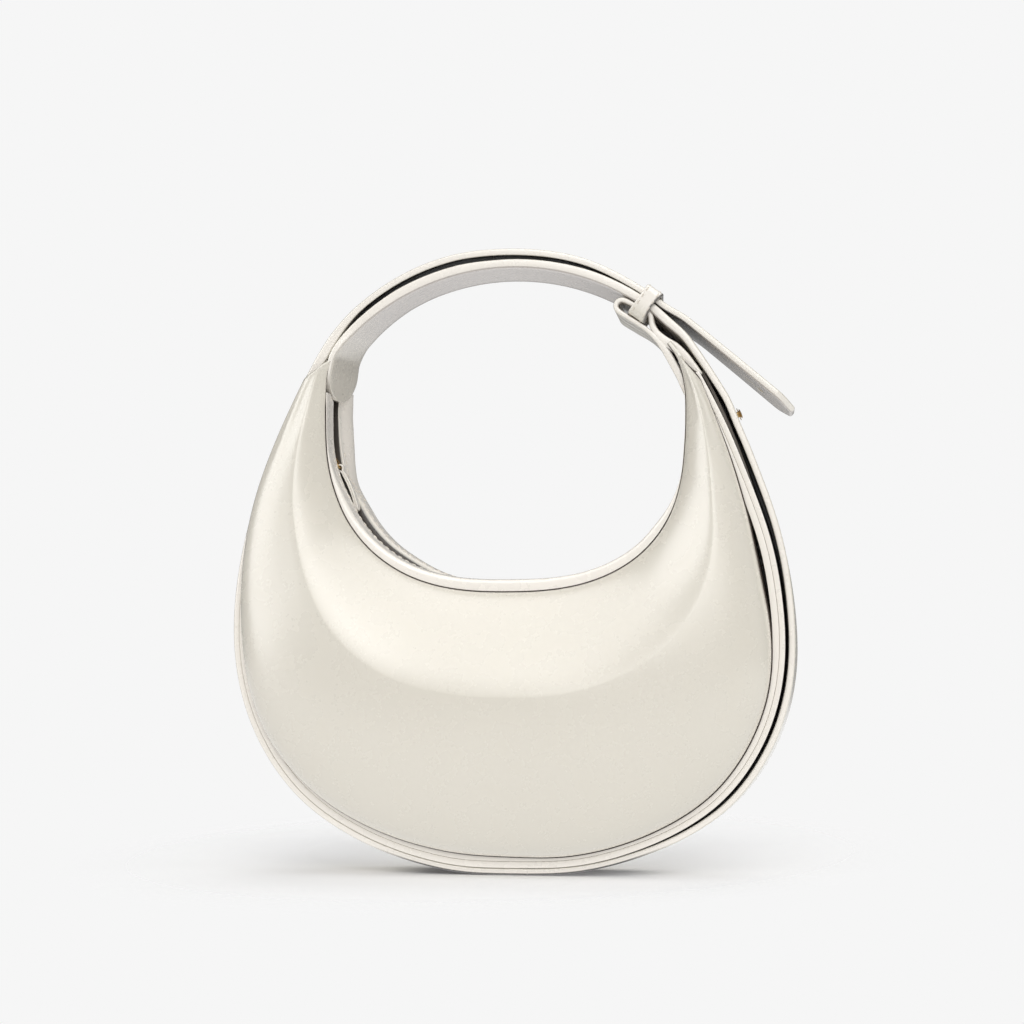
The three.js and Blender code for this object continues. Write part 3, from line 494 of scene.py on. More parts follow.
def leather(name, tint, rough, grain=1.0, edge=None):
    """Smooth calf leather: fine pores, faint cloudy tone, a paler tone at marked edges, and painted shade, greyish
    or near-black, where a piece is marked.
    """
    material, tree, bsdf, place = surface(name)
    cloud = noise(tree, place, 11.0, 3.0, Roughness=0.55)
    mottle = noise(tree, place, 95.0, 4.0, Roughness=0.6)
    dim = [c * 0.985 for c in tint]
    warm = [tint[0] * 0.994, tint[1] * 0.986, tint[2] * 0.972]
    base = mixed(tree, ranged(tree, cloud, 0.35, 0.65, 0, 1), colour(tint), colour(dim))
    base = mixed(tree, ranged(tree, mottle, 0.5, 0.8, 0, 0.5), base, colour(warm))
    # Painted shade from the marks, greyish and near-black; the edge tone also paints light on the lips.
    for mark, tone in (("edge", edge or [c * 0.9 for c in tint]), ("grey", SHADED), ("dark", PAINTED_SHADE_TONE)):
        base = mixed(tree, marked(tree, mark), base, colour(tone))
    pores, creases = [add(tree, "ShaderNodeTexVoronoi", settings={"feature": kind}, Vector=place, Scale=scale)
                      .outputs["Distance"] for kind, scale in (("F1", 1150.0), ("DISTANCE_TO_EDGE", 620.0))]
    relief = maths(tree, "ADD", ranged(tree, creases, 0.0, 0.22, 0.0, 1.0), pores)
    relief = maths(tree, "ADD", relief, noise(tree, place, 1500.0, 2.0))
    shine = ranged(tree, mottle, 0.3, 0.7, rough - 0.025, rough + 0.03)
    finish_shader(tree, bsdf, base, shine, relief, 0.022 * grain, 0.0001,
                  Specular_IOR_Level=1.0, Coat_Weight=0.9, Coat_Roughness=0.25)
    return material


def brass_material():
    """Polished brass with fine scratches and a little tarnish."""
    material, tree, bsdf, place = surface("brass_polished")
    stretch = add(tree, "ShaderNodeMapping", Vector=place, Scale=(900.0, 120.0, 900.0)).outputs[0]
    scratch = noise(tree, stretch, 1.0, 3.0)
    tarnish = ranged(tree, noise(tree, place, 260.0, 4.0), 0.4, 0.75, 0, 1)
    base = mixed(tree, tarnish, colour((0.58, 0.4, 0.17)), colour((0.33, 0.2, 0.085)))
    finish_shader(tree, bsdf, base, ranged(tree, scratch, 0.3, 0.7, 0.2, 0.36), scratch, 0.06, 0.00005, Metallic=1.0)
    return material


def woven(name, light, deep, pitch, rough):
    """A plain weave that follows the run of the piece, from its own run values."""
    material, tree, bsdf, place = surface(name)
    run = add(tree, "ShaderNodeSeparateXYZ", marked(tree, "run", "Vector")).outputs
    waves = [maths(tree, "SINE", maths(tree, "MULTIPLY", run[axis], math.pi / (pitch * MM))) for axis in "XY"]
    cross = maths(tree, "MULTIPLY", *waves)
    fuzz = noise(tree, place, 1500.0, 4.0)
    fade = noise(tree, place, 40.0, 2.0)
    base = mixed(tree, ranged(tree, cross, -1, 1, 0, 1), colour(deep), colour(light))
    base = mixed(tree, ranged(tree, fade, 0.3, 0.7, 0, 0.35), base, colour(deep))
    finish_shader(tree, bsdf, base, ranged(tree, fuzz, 0.3, 0.7, rough - 0.05, rough + 0.05),
                  maths(tree, "ADD", cross, fuzz), 0.35, 0.00015, Sheen_Weight=0.2, Sheen_Roughness=0.5)
    return material


def thread_material(name, light, deep):
    """Twisted sewing thread."""
    material, tree, bsdf, place = surface(name)
    twist = add(tree, "ShaderNodeTexWave", settings={"wave_type": "BANDS", "bands_direction": "DIAGONAL"},
                Vector=place, Scale=900.0, Distortion=1.5, Detail=1.0).outputs["Fac"]
    rough = ranged(tree, noise(tree, place, 700.0, 3.0), 0.3, 0.7, 0.6, 0.75)
    finish_shader(tree, bsdf, mixed(tree, twist, colour(deep), colour(light)), rough, twist, 0.3, 0.0001)
    return material


def board_material():
    """Grey fibre board."""
    material, tree, bsdf, place = surface("stiffener_board")
    fibre = noise(tree, place, 600.0, 6.0)
    base = mixed(tree, fibre, colour((0.2, 0.17, 0.14)), colour((0.34, 0.31, 0.27)))
    finish_shader(tree, bsdf, base, ranged(tree, fibre, 0.3, 0.7, 0.82, 0.95))
    return material


LEATHER = leather("cream_leather", CREAM, 0.27, edge=PALE_EDGE)
EDGE = leather("leather_edge", (0.88, 0.83, 0.757), 0.36, 0.6, edge=PALE_EDGE)
# A near-black leather for the sheet of painted shade in the belt gap.
SHADE_SHEET = leather("gap_shade_sheet", (0.022, 0.013, 0.009), 0.6)
# The seam cord's near-black stands for the sewn cord and also for painted shade in the seam groove.
SEAM_CORD_AND_SHADE = thread_material("seam_cord_and_shade", (0.055, 0.036, 0.026), (0.018, 0.011, 0.008))
THREAD = thread_material("cream_thread", (0.8, 0.75, 0.66), (0.62, 0.56, 0.48))
BRASS = brass_material()
TAPE = woven("zip_tape", (0.105, 0.062, 0.036), (0.04, 0.022, 0.013), 0.7, 0.82)
CLOTH = woven("lining_cloth", (0.48, 0.39, 0.3), (0.33, 0.26, 0.195), 0.55, 0.88)
BOARD = board_material()


# Gusset and the layers inside it

def resting(points):
    """The curve with its lowest part eased flat on to the base belt."""
    z = points[:, 1] - BASE_HEIGHT
    return np.column_stack([points[:, 0], BASE_HEIGHT + 0.5 * (z + np.sqrt(z * z + 0.9))])


def body_turn(points):
    """Degrees round the middle of the body, from the base, to the right of the front."""
    return np.degrees(np.arctan2(points[:, 0], BODY_WIDEST - points[:, 1]))


# Where the sewn body is fuller or flatter than the even outline: degrees, then millimetres.
FULLER_AT = [-180, -52, -45, -38, -28, -19, -9, 12, 20, 30, 36, 41, 49, 54, 59, 64, 70, 76, 82, 87, 92,
             97, 103, 108, 112, 116, 120, 124, 128, 132, 138, 146]
FULLER_BY = [0, 0, -0.5, -1.1, -1.2, -0.9, 0, 0, 0, 0.1, 0.6, 1.2, 2.2, 2.3, 2.1, 1.9, 1.6, 1.25, 0.85, 0.4, 0,
             -0.3, -0.5, -0.9, -1.5, -2.3, -2.9, -3.5, -3.7, -3.9, -4.3, -4.5]


def shaped(points):
    """The outline as the soft body has it."""
    return points + sides(points) * np.interp(body_turn(points), FULLER_AT, FULLER_BY)[:, None]


outline = ring_outline(BODY_HALF_WIDTH, BODY_WIDEST, BODY_DROP, LOWER_SQUARE,
                       BODY_RISE, UPPER_SQUARE, GUSSET_TOP)


def settled(points):
    """The outline let down on to the base belt."""
    drop = points[:, 1].min() - BASE_HEIGHT
    fade = 1 - smooth(points[:, 1], BASE_HEIGHT + 2, BASE_HEIGHT + 26)
    return np.column_stack([points[:, 0], points[:, 1] - drop * fade])


girth = settled(flowing(shaped(resting(evenly(outline, 520))), 1.3, 6.0))
girth_side = sides(girth)
coarse_girth = evenly(girth, 64)

STIFF_OUT = GUSSET_THICK + GAP
STIFF_IN = STIFF_OUT + STIFF_THICK
LINING_OUT = STIFF_IN + GAP
INSIDE_HALF = RING_HALF - WELT_DEPTH - GAP


def girth_at(distance):
    return girth + girth_side * distance


def strip(name, path, half_width, thick, material, node=None, slot=None, middle=0.0, corner=0.6,
          dark=None, grey=None, ends=0.3, lean=0.0):
    """A ribbon made into a piece of the bag, with its run, its edges and its faces of painted shade, near-black or
    greyish, marked.
    """
    sections, run, facing = ribbon(path, half_width, thick, middle, corner, ends, lean)
    values = {"run": run, "edge": edge_of(facing)}
    for key, mark in (("dark", dark), ("grey", grey)):
        if mark is not None:
            values[key] = np.clip(mark(run[..., 0] / MM, facing), 0, 1)
    return make(name, *loft(sections), material, "bag", node, slot, values)


def faces_out(facing):
    return smooth(facing, 0.3, 0.75)


def faces_in(facing):
    return smooth(-facing, 0.3, 0.75)


def daylight(points):
    """How far the belt stands off the gusset: open on the right, drawn close to the horn on the left."""
    rising = smooth(points[:, 1], BODY_WIDEST * 0.35, BODY_WIDEST * 1.2)
    closing = (points[:, 0] < 0) * smooth(points[:, 1], BODY_WIDEST * 1.2, GUSSET_TOP)
    return SIDE_DAYLIGHT * rising * (1 - closing)


def belt_gap(points):
    """Gap between the gusset and the belt: a slit on the right, closing towards the base."""
    right = np.interp(body_turn(points), [12, 30, 45, 55, 92, 100, 108, 116, 128, 146],
                      [0.4, 0.5, 0.8, 1.2, 1.3, 1.5, 1.8, 2.2, 2.5, 2.3])
    return np.where(points[:, 0] > 0, right, STRAP_CLEAR + daylight(points))


filled = (1 - smooth(body_turn(girth), 20, 48)) * (belt_gap(girth) - 0.1)
band_path = girth + girth_side * ((filled - GUSSET_THICK) / 2)[:, None]
half_girth = runs(girth)[-1] / 2
# The gusset's outer face, where it faces the belt, is painted near-black as shade in the gap, most on the right.
strip("gusset_band", band_path, RING_HALF, GUSSET_THICK + filled, LEATHER, "gusset", "cream_leather", corner=0.3,
      dark=lambda s, f: faces_out(f) * lerp(0.2, 1, smooth(s, half_girth + 20, half_girth + 80)))
for word, side in (("front", -1), ("back", 1)):
    strip(word + "_welt_cord", girth_at(-GUSSET_THICK - 0.05 - (WELT_THICK + GAP) / 2), WELT_DEPTH / 2,
          WELT_THICK + GAP - 0.05, EDGE, word + "_welt", "leather_edge",
          middle=side * (RING_HALF - WELT_DEPTH / 2), corner=0.12)
band = strip("gusset_lining_cloth", girth_at(-LINING_OUT - LINING_THICK / 2), INSIDE_HALF, LINING_THICK, CLOTH,
             "gusset_lining", "lining_cloth", corner=0.3)
frame["nodes"]["gusset_stiffener"].data.materials.clear()
frame["nodes"]["gusset_stiffener"].data.materials.append(BOARD)


# Puffed panels

mouth = ring_outline(MOUTH_HALF, MOUTH_CENTRE, MOUTH_DROP, MOUTH_SQUARE,
                     MOUTH_RISE, MOUTH_SQUARE, PANEL_INNER_TOP)
panel_outer = ring_outline(BODY_HALF_WIDTH, BODY_WIDEST, BODY_DROP, LOWER_SQUARE,
                           BODY_RISE, UPPER_SQUARE, PANEL_OUTER_TOP)
panel_outer = settled(flowing(shaped(resting(evenly(panel_outer, 400))), 1.3, 6.0))

# How far inside the gusset's outer face the panel is sewn down: degrees round the body, then millimetres.
# On the left above the middle the panel is drawn out over the gusset and the belt.
SEWN_AT = [-80, -71, -66, -61, -56, -49, -42, -29, -19, -9, 1, 11, 20, 30, 41, 49, 59, 68, 76, 84, 92, 100, 108,
           112, 116, 120, 124, 128, 132, 136, 145]
SEWN_IN = [1.0, 1.7, 2.1, 2.9, 3.6, 4.1, 4.3, 4.8, 5.2, 5.2, 4.8, 4.3, 4.3, 4.3, 4.8, 5.0, 5.2, 5.3, 5.2, 5.6, 6.3,
           7.6, 7.6, 6.9, 6.1, 5.5, 4.6, 4.0, 3.5, 2.8, 0.6]


def drawn_over(points):
    return smooth(-body_turn(points), 78, 122)


seam_inset = lerp(np.interp(body_turn(panel_outer), SEWN_AT, SEWN_IN),
                  -(belt_gap(panel_outer) + STRAP_THICK - 0.2), drawn_over(panel_outer))
seam = flowing(panel_outer - sides(panel_outer) * seam_inset[:, None], 1.2, 5.0)
longer = ring_outline(MOUTH_HALF, MOUTH_CENTRE, MOUTH_DROP, MOUTH_SQUARE, MOUTH_RISE, MOUTH_SQUARE, 231.0)
longer = longer[(longer[:, 0] > 0) | (longer[:, 1] <= PANEL_INNER_TOP)]


def mouth_shift(points):
    """The soft mouth lies a little further left than the even curve, near both horns."""
    left = np.interp(points[:, 1], [135, 150, 157, 166, 175, 184, 193, 202, 211, 216, 220, 227],
                     [0, 0.7, 1.1, 1.35, 1.8, 2.1, 2.1, 2.1, 2.3, 3.0, 3.7, 5.0])
    right = np.interp(points[:, 1], [140, 155, 170, 185, 215, 225, 231], [0, 0.5, 1.4, 2.2, 2.2, 2.2, 2.6])
    return np.where(points[:, 0] < 0, left, right)


longer[:, 0] -= mouth_shift(longer)
mouth_plain = evenly(mouth, 600)
mouth_even = flowing(evenly(longer, 600), 0.6, 1.6)
widest_span = float(np.linalg.norm(along(mouth_even, np.array([0.5])) - along(seam, np.array([0.5]))))


def panel_points(u, turn):
    """Points on the outer face of the front panel: u runs round the crescent, turn over the puff."""
    u = np.asarray(u, float)
    turn = np.asarray(turn, float)[None, :]
    inner, outer = along(mouth_even, u), along(seam, u)
    span = np.linalg.norm(outer - inner, axis=1)
    upper = turn < np.pi / 2
    power = np.where(upper, 2 / PANEL_UPPER_SQUARE, 2 / PANEL_LOWER_SQUARE)
    swing = np.abs(np.cos(turn)) ** power
    crest = (CREST_SHARE - 0.05 * (1 - smooth(u, 0.18, 0.4)))[:, None]
    v = np.where(upper, crest * (1 - swing), crest + (1 - crest) * swing)
    lift = np.maximum(np.sin(turn), 0) ** power
    foot = lerp(RING_HALF + GAP, STRAP_HALF + 0.3, drawn_over(outer))[:, None]
    foot = np.where(upper, RING_HALF - 0.3, foot)
    full = PANEL_BULGE * (span / widest_span) ** 1.15
    from_tip = smooth(np.minimum(u, 1 - u), -TIP_SHARE / 2, TIP_SHARE)
    bulge = lerp(TIP_BULGE, np.maximum(full, TIP_BULGE), from_tip)[:, None]
    depth = lerp(foot, RING_HALF + bulge, lift)
    x = inner[:, None, 0] + v * (outer - inner)[:, None, 0]
    z = inner[:, None, 1] + v * (outer - inner)[:, None, 1]
    return np.stack([x, -depth, z], -1), v, span


def panel_offset(u, turn, depth):
    """The same points moved inward, square to the face."""
    near, nearby = 0.004, 0.03
    du = panel_points(np.minimum(u + near, 1), turn)[0] - panel_points(np.maximum(u - near, 0), turn)[0]
    late = panel_points(u, np.minimum(turn + nearby, np.pi))[0]
    dt = late - panel_points(u, np.maximum(turn - nearby, 0))[0]
    normal = unit(np.cross(du, dt))
    normal *= np.where(normal[len(u) // 2, len(turn) // 2, 1] < 0, 1.0, -1.0)
    points, v, span = panel_points(u, turn)
    return points - normal * depth, normal, v, span


def hide_folds(u, v, span):
    """Slight unevenness of the drawn hide: soft waves, puckers at the seam and pulls at the horns."""
    from_tip = np.minimum(u, 1 - u)[:, None]
    u = u[:, None]
    soft = 0.16 * np.sin(13.0 * u + 2.2 * v + 0.4) * np.sin(np.pi * v)
    soft = soft + 0.1 * np.sin(29.0 * u - 5.0 * v + 1.3) * np.sin(np.pi * v)
    near_seam = np.exp(-(1 - v) * span[:, None] / 4.5)
    pucker = 0.07 * np.sin(2 * np.pi * u * 92) * near_seam
    pull = 0.22 * np.cos(2 * np.pi * (2.6 * v + 0.1)) * np.exp(-((from_tip - 0.05) / 0.035) ** 2)
    return (soft + pucker + pull) * smooth(np.minimum(v, 1 - v) * span[:, None], 0.3, 6)


def panel_shell(name, side, outer_depth, thick, us, turns, material, node, slot, folds, rim_painted_shade):
    """A shell of even thickness under the panel's face, with a rounded rim all round, which can be painted
    near-black as shade in the seam groove.
    """
    out, normal, v, span = panel_offset(us, turns, outer_depth)
    if folds:
        out = out + normal * hide_folds(us, v, span)[..., None]
    back = out - normal * thick
    rim = []
    for edge, before in ((-1, -2), (0, 1)):
        o, i = out[:, edge], back[:, edge]
        ahead = unit(o - out[:, before])
        turns_rim = np.radians([45, 90, 135] if edge == -1 else [135, 90, 45])
        rim.append(np.stack([(o + i) / 2 + (o - i) / 2 * math.cos(t) + ahead * thick * 0.12 * math.sin(t)
                             for t in turns_rim], 1))
    sections = np.concatenate([out, rim[0], back[:, ::-1], rim[1]], 1)
    n, m = sections.shape[:2]
    count = len(turns)
    dark = np.zeros((n, m))
    dark[:, count:count + 3] = rim_painted_shade
    dark[:, -3:] = rim_painted_shade
    run = np.zeros_like(sections)
    run[..., 0] = runs(out[:, count // 2])[:, None] * MM
    across = runs(out[n // 2])
    run[:, :count, 1] = across * MM
    run[:, count + 3:2 * count + 3, 1] = across[::-1] * MM
    points, faces = loft(sections, capped=False)
    for row, turn in ((0, -1), (n - 1, 1)):
        b = row * m
        for k in range(count - 1):
            far = b + 2 * count + 2 - k
            faces.append([b + k, b + k + 1, far - 1, far][::turn])
        faces.append([b + k for k in range(count - 1, count + 4)][::turn])
        faces.append(([b + k for k in range(2 * count + 2, m)] + [b])[::turn])
    points = points * [1, -side, 1]
    faces = outward(points, faces)
    return make(name, points, faces, material, "bag", node, slot, {"run": run, "dark": dark})


def eased(count):
    """Turns over the puff, closer together where the leather turns in at its seams."""
    t = np.linspace(0, 1, count)
    return np.pi * (t - 0.12 * np.sin(2 * np.pi * t) / (2 * np.pi) * 2)


PANEL_U = np.linspace(0, 1, 301)
PANEL_T = eased(73)
LINING_U = np.linspace(2 / 28, 1 - 2 / 28, 141)
LINING_T = np.linspace(0.02, np.pi - 0.02, 41)
LINING_DEPTH = PANEL_THICK + GAP
for word, side in (("front", -1), ("back", 1)):
    panel_shell(word + "_puff", side, 0, PANEL_THICK, PANEL_U, PANEL_T, LEATHER, word + "_panel",
                "cream_leather", True, 0.9)
    cloth = panel_shell(word + "_lining_cloth", side, LINING_DEPTH, LINING_THICK, LINING_U, LINING_T,
                        CLOTH, word + "_lining", "lining_cloth", False, 0.0)
POCKET_U = np.linspace(0.357, 0.643, 61)
POCKET_T = np.linspace(1.885, 2.513, 25)
pocket = panel_shell("slip_pocket_cloth", 1, LINING_DEPTH + LINING_THICK + GAP, LINING_THICK, POCKET_U,
                     POCKET_T, CLOTH, "slip_pocket", "lining_cloth", False, 0.0)


SEAM_RADIUS = 0.34


def panel_border(side, radius):
    """A sewn cord in the groove all round a panel, near-black also as painted shade in the groove."""
    u = np.linspace(0, 1, 420)
    inner, outer = along(mouth_even, u), along(seam, u)
    depth = RING_HALF + lerp(0.4, -0.7, drawn_over(outer))
    inner = inner - sides(inner) * 0.15
    outer = outer + sides(outer) * 0.15
    a = np.column_stack([inner[:, 0], 0 * u + RING_HALF - 0.15, inner[:, 1]])
    b = np.column_stack([outer[:, 0], depth, outer[:, 1]])
    hidden = np.where(inner[:, 0] < 0, smooth(inner[:, 1], 206, 212), smooth(inner[:, 1], 152, 168))
    turned = body_turn(outer)
    faint = np.maximum(smooth(-turned, 66, 90), smooth(turned, 120, 137))
    fine = np.concatenate([lerp(1, 0.2, hidden), np.full(7, 1.2), lerp(1, 0.2, faint)[::-1], np.full(7, 1.7)])
    across = np.linspace(0, 1, 9)[1:-1, None]
    right = lerp(a[-1], b[-1], across)
    left = lerp(b[0], a[0], across)
    line = np.concatenate([a, right, b[::-1], left]) * [1, side, 1]
    return tube(line, radius * fine, closed=True, count=8)


for word, side in (("front", -1), ("back", 1)):
    make(word + "_panel_seam", *loft(panel_border(side, SEAM_RADIUS), closed=True), SEAM_CORD_AND_SHADE)


# Lips of the mouth and the zip

mouth_angle = np.arctan2(ZIP_CENTRE - mouth_even[:, 1], -mouth_even[:, 0])
mouth_angle = np.where(mouth_angle < -1, mouth_angle + 2 * np.pi, mouth_angle)
mouth_reach = np.hypot(mouth_even[:, 0], mouth_even[:, 1] - ZIP_CENTRE)


# The strap end on the left and the tab root on the right lie between the ends of the lips.
TONGUE_FOOT = LIP_END + 5.0
TONGUE_ROUND = 13.0
TAB_ROUND = 9.0
LIP_TOP = 216.5


def rounded_end(run, length):
    """Share of the full width at a distance from a rounded end."""
    return np.sqrt(np.clip(1 - (1 - np.clip(run / length, 0.03, 1)) ** 2.2, 0, 1))


def mouth_radius(angle):
    return np.interp(angle, mouth_angle, mouth_reach)


LIP_START = math.asin((ZIP_CENTRE - LIP_END) / MOUTH_HALF)
ZIP_RADIUS = float(mouth_radius(np.linspace(LIP_START, np.pi - LIP_START, 41)).max()) + 1
ZIP_START = math.radians(ZIP_END_ANGLE)


def on_arc(angle, radius, y):
    return np.stack([-radius * np.cos(angle), y + 0 * angle, ZIP_CENTRE - radius * np.sin(angle)], -1)


def lip_sections(angle, side):
    edge = mouth_radius(angle) - GAP
    share = np.maximum(np.sin((angle - LIP_START) / (np.pi - 2 * LIP_START) * np.pi), 0)
    rise = lerp(LIP_END_RISE, LIP_RISE, share)
    near_left = 1 - smooth(angle, 0.15, 0.58)
    near_right = smooth(angle, np.pi - 0.75, np.pi - 0.4)
    rise = lerp(rise, 0.2, near_right)
    if side < 0:
        rise = lerp(rise, 0.35, near_left)
    else:
        rise = rise + 2.4 * smooth(angle, 0.36, 0.6) * (1 - smooth(angle, 0.9, 1.3))
    crest = edge - rise
    above = ZIP_CENTRE - edge * np.sin(angle) - TONGUE_FOOT
    end_half = np.where(angle < 1.5, (RING_HALF - 0.1) * rounded_end(above, TONGUE_ROUND),
                        (STRAP_HALF - 0.6) * rounded_end(above, TAB_ROUND))
    under_tongue = -3.0 if side > 0 else 0.5
    inner_y = np.maximum(LIP_HALF_GAP, np.where(above > 0, end_half + under_tongue, 0))
    inner_y = np.minimum(inner_y, RING_HALF - 0.3)
    corner = np.minimum(np.minimum(LIP_ROUND, rise * 0.6), (RING_HALF - inner_y) * 0.4)
    from_end = np.minimum(angle, np.pi - angle)
    floor = lerp(edge + LIP_END_DEPTH, ZIP_RADIUS - GAP, smooth(from_end, LIP_START, ZIP_START))
    step = RING_HALF - PANEL_TUCK - LIP_STEP_CLEAR
    rows = [(edge, RING_HALF)]
    for k in range(7):
        t = math.radians(90 * k / 6)
        rows.append((crest + corner * (1 - math.sin(t)), RING_HALF - corner * (1 - math.cos(t))))
    for k in range(1, 12):
        y = lerp(RING_HALF - corner, inner_y + corner, k / 12)
        rows.append((crest - 0.35 * math.sin(math.pi * k / 12) * share, y))
    for k in range(7):
        t = math.radians(90 * k / 6)
        rows.append((crest + corner * (1 - math.cos(t)), inner_y + corner * (1 - math.sin(t))))
    rows += [(floor, inner_y), (floor, np.maximum(step, inner_y + 0.1)), (edge, np.maximum(step, inner_y + 0.1))]
    skin = np.stack([on_arc(angle, radius, side * y) for radius, y in rows], 1)
    depth = skin[..., 1]
    back_shift = 2.1 * smooth(depth, 6, 17) if side > 0 else -0.8 * smooth(depth, -17, -4)
    if side > 0:
        back_shift = back_shift - 0.8 * (1 - smooth(depth, 4, 12))
    skin[..., 0] += back_shift * near_left[:, None]
    return skin


for word, side, top in (("front", -1, LIP_TOP - 3.5), ("back", 1, LIP_TOP)):
    lip_end = math.asin((ZIP_CENTRE - top) / MOUTH_HALF)
    sections = lip_sections(np.linspace(lip_end, np.pi - lip_end, 281), side)
    # The inner walls and floor of each lip are painted near-black as shade in the mouth's gap; the other faces take
    # the pale edge tone, partly the leather's edge colour and partly painted light where the lip sits in shade.
    lip_painted_shade = np.zeros(sections.shape[:2])
    lip_painted_shade[:, -6:] = [0, 0.4, 1, 1, 1, 0]
    lip_edge_and_painted_light = np.zeros(sections.shape[:2])
    lip_edge_and_painted_light[:, :-6] = 1
    make(word + "_lip", *loft(sections), LEATHER, "bag", word + "_mouth_lip", "cream_leather",
         {"dark": lip_painted_shade * 0.94, "edge": lip_edge_and_painted_light}, sharp=50)


def zip_frame(angle, radius):
    s, c = math.sin(angle), math.cos(angle)
    return frame_matrix((s, 0, -c), (0, 1, 0), (c, 0, s), on_arc(np.float64(angle), radius, 0.0))


TOOTH_PITCH = 2.2
TOOTH = np.array([(-0.8, 4.5), (-0.85, 3.3), (-0.45, 2.95), (-0.62, 2.5), (-0.3, 2.3),
                  (0.3, 2.3), (0.62, 2.5), (0.45, 2.95), (0.85, 3.3), (0.8, 4.5)])
zip_angles = np.linspace(ZIP_START, np.pi - ZIP_START, 241)
zip_path = on_arc(zip_angles, ZIP_RADIUS + TAPE_THICK / 2, 0.0)[:, [0, 2]]
tooth_count = int(ZIP_RADIUS * (np.pi - 2 * ZIP_START) / TOOTH_PITCH) - 5
for word, side in (("front", -1), ("back", 1)):
    strip("zip_tape_web_" + word, zip_path, TAPE_WIDTH / 2, TAPE_THICK, TAPE, "zip_tape_" + word, "zip_tape",
          middle=side * (TAPE_EDGE + TAPE_WIDTH / 2), corner=0.3)
    shape = TOOTH * [1, side]
    tooth = slab(shape if side < 0 else shape[::-1], -TAPE_THICK - 0.65, 0.65, 0.18)
    parts = []
    for k in range(tooth_count):
        angle = ZIP_START + (k + 2.75 + side * 0.25) * TOOTH_PITCH / ZIP_RADIUS
        parts.append((placed(tooth[0], zip_frame(angle, ZIP_RADIUS)), tooth[1]))
    make("zip_teeth_" + word, *gathered(parts), BRASS, slot="brass", sharp=50)

# Slider: two shaped plates on a post, with side flanges and a bowed bail.
SLIDER_LONG = 10.0
PLATE = 1.2
PLATE_LOW = 1.0
PLATE_HIGH = PLATE_LOW + PLATE
UNDER_HIGH = -TAPE_THICK - 1.0
UNDER_LOW = UNDER_HIGH - PLATE
STOP_AT = 2.2
STOP_HALF = 1.3
SLIDER_CLEAR = 0.276
SLIDER_AT = ZIP_START + (STOP_AT + STOP_HALF + SLIDER_CLEAR + SLIDER_LONG / 2) / ZIP_RADIUS
slider_place = zip_frame(SLIDER_AT, ZIP_RADIUS)
BAIL_HIGH = 3.4
LINK_WIRE = 1.1
BAIL_HOLE = LINK_WIRE + 2 * GAP
PIVOT = PLATE_HIGH + (BAIL_HIGH - BAIL_HOLE) / 2 + BAIL_HOLE / 2

plate_half = []
for k in range(25):
    x = lerp(-5, 5, k / 24)
    waist = 2.35 + 0.95 * float(smooth(x, -1.5, 3.5))
    end = math.sqrt(max(0.0, 1 - max(0.0, (abs(x) - 3.4) / 1.6) ** 2.4))
    plate_half.append((x, max(0.7, waist * end)))
plate_outline = np.array([(x, -w) for x, w in plate_half] + [(x, w) for x, w in plate_half[::-1]])
bail_turn = np.linspace(0, np.pi, 25)
bail_x = -2.45 * np.sign(np.cos(bail_turn)) * np.abs(np.cos(bail_turn)) ** 0.6
bail_z = PLATE_HIGH - 0.4 + (BAIL_HIGH + 0.1) * np.sin(bail_turn) ** 0.55
bail = loft(tube(np.column_stack([bail_x, 0 * bail_x, bail_z]), 0.5, count=12))
flanges = []
for side in (-1, 1):
    rail = rounded_outline(3.1, 0.42, 0.35, 4, (0.9, side * 2.78))
    flanges.append(slab(rail, PLATE_LOW - 0.45, PLATE_LOW + 0.3, 0.15))
    flanges.append(slab(rail, UNDER_HIGH - 0.3, UNDER_HIGH + 0.45, 0.15))
slider_parts = [
    slab(plate_outline, PLATE_LOW, PLATE_HIGH, 0.35),
    slab(plate_outline, UNDER_LOW, UNDER_HIGH, 0.35),
    slab(rounded_outline(1.5, 1.0, 0.6, 4, (-3.5, 0)), UNDER_LOW + 0.2, PLATE_HIGH - 0.2, 0.1),
    bail, *flanges,
]
points, faces = gathered(slider_parts)
make("zip_slider_body", placed(points, slider_place), faces, BRASS, "zip_slider", "zip_slider", "brass", sharp=40)

# The link and the folded leather pull.
LINK_LONG = 9.0
LINK_NEAR = 2.4
PULL_WIDTH = 4.6
PULL_LONG = 21.0
PULL_LEAN = 21.0
lean = math.radians(PULL_LEAN)
pull_turn = frame_matrix((math.cos(lean), 0, math.sin(lean)), (0, 1, 0), (-math.sin(lean), 0, math.cos(lean)),
                         (0, 0, PIVOT))
pull_place = slider_place @ pull_turn
near_half = LINK_NEAR / 2 + LINK_WIRE / 2
far_half = PULL_WIDTH / 2 + GAP + LINK_WIRE / 2
corners = np.array([(0, -near_half), (LINK_LONG, -far_half), (LINK_LONG, far_half), (0, near_half)])
link_line = []
for k in range(4):
    before, here, after = corners[k - 1], corners[k], corners[(k + 1) % 4]
    start = here + unit(before - here) * 0.9
    end = here + unit(after - here) * 0.9
    for t in np.linspace(0, 1, 7):
        link_line.append((1 - t) ** 2 * start + 2 * t * (1 - t) * here + t**2 * end)
link_line = evenly(np.array(link_line + link_line[:1]), 90)[:-1]
link = np.column_stack([link_line[:, 0], link_line[:, 1], 0 * link_line[:, 0]])
points, faces = loft(tube(link, LINK_WIRE / 2, closed=True, count=14), closed=True)
make("zip_link_wire", placed(points, pull_place), faces, BRASS, "zip_link", "zip_pull_link", "brass")

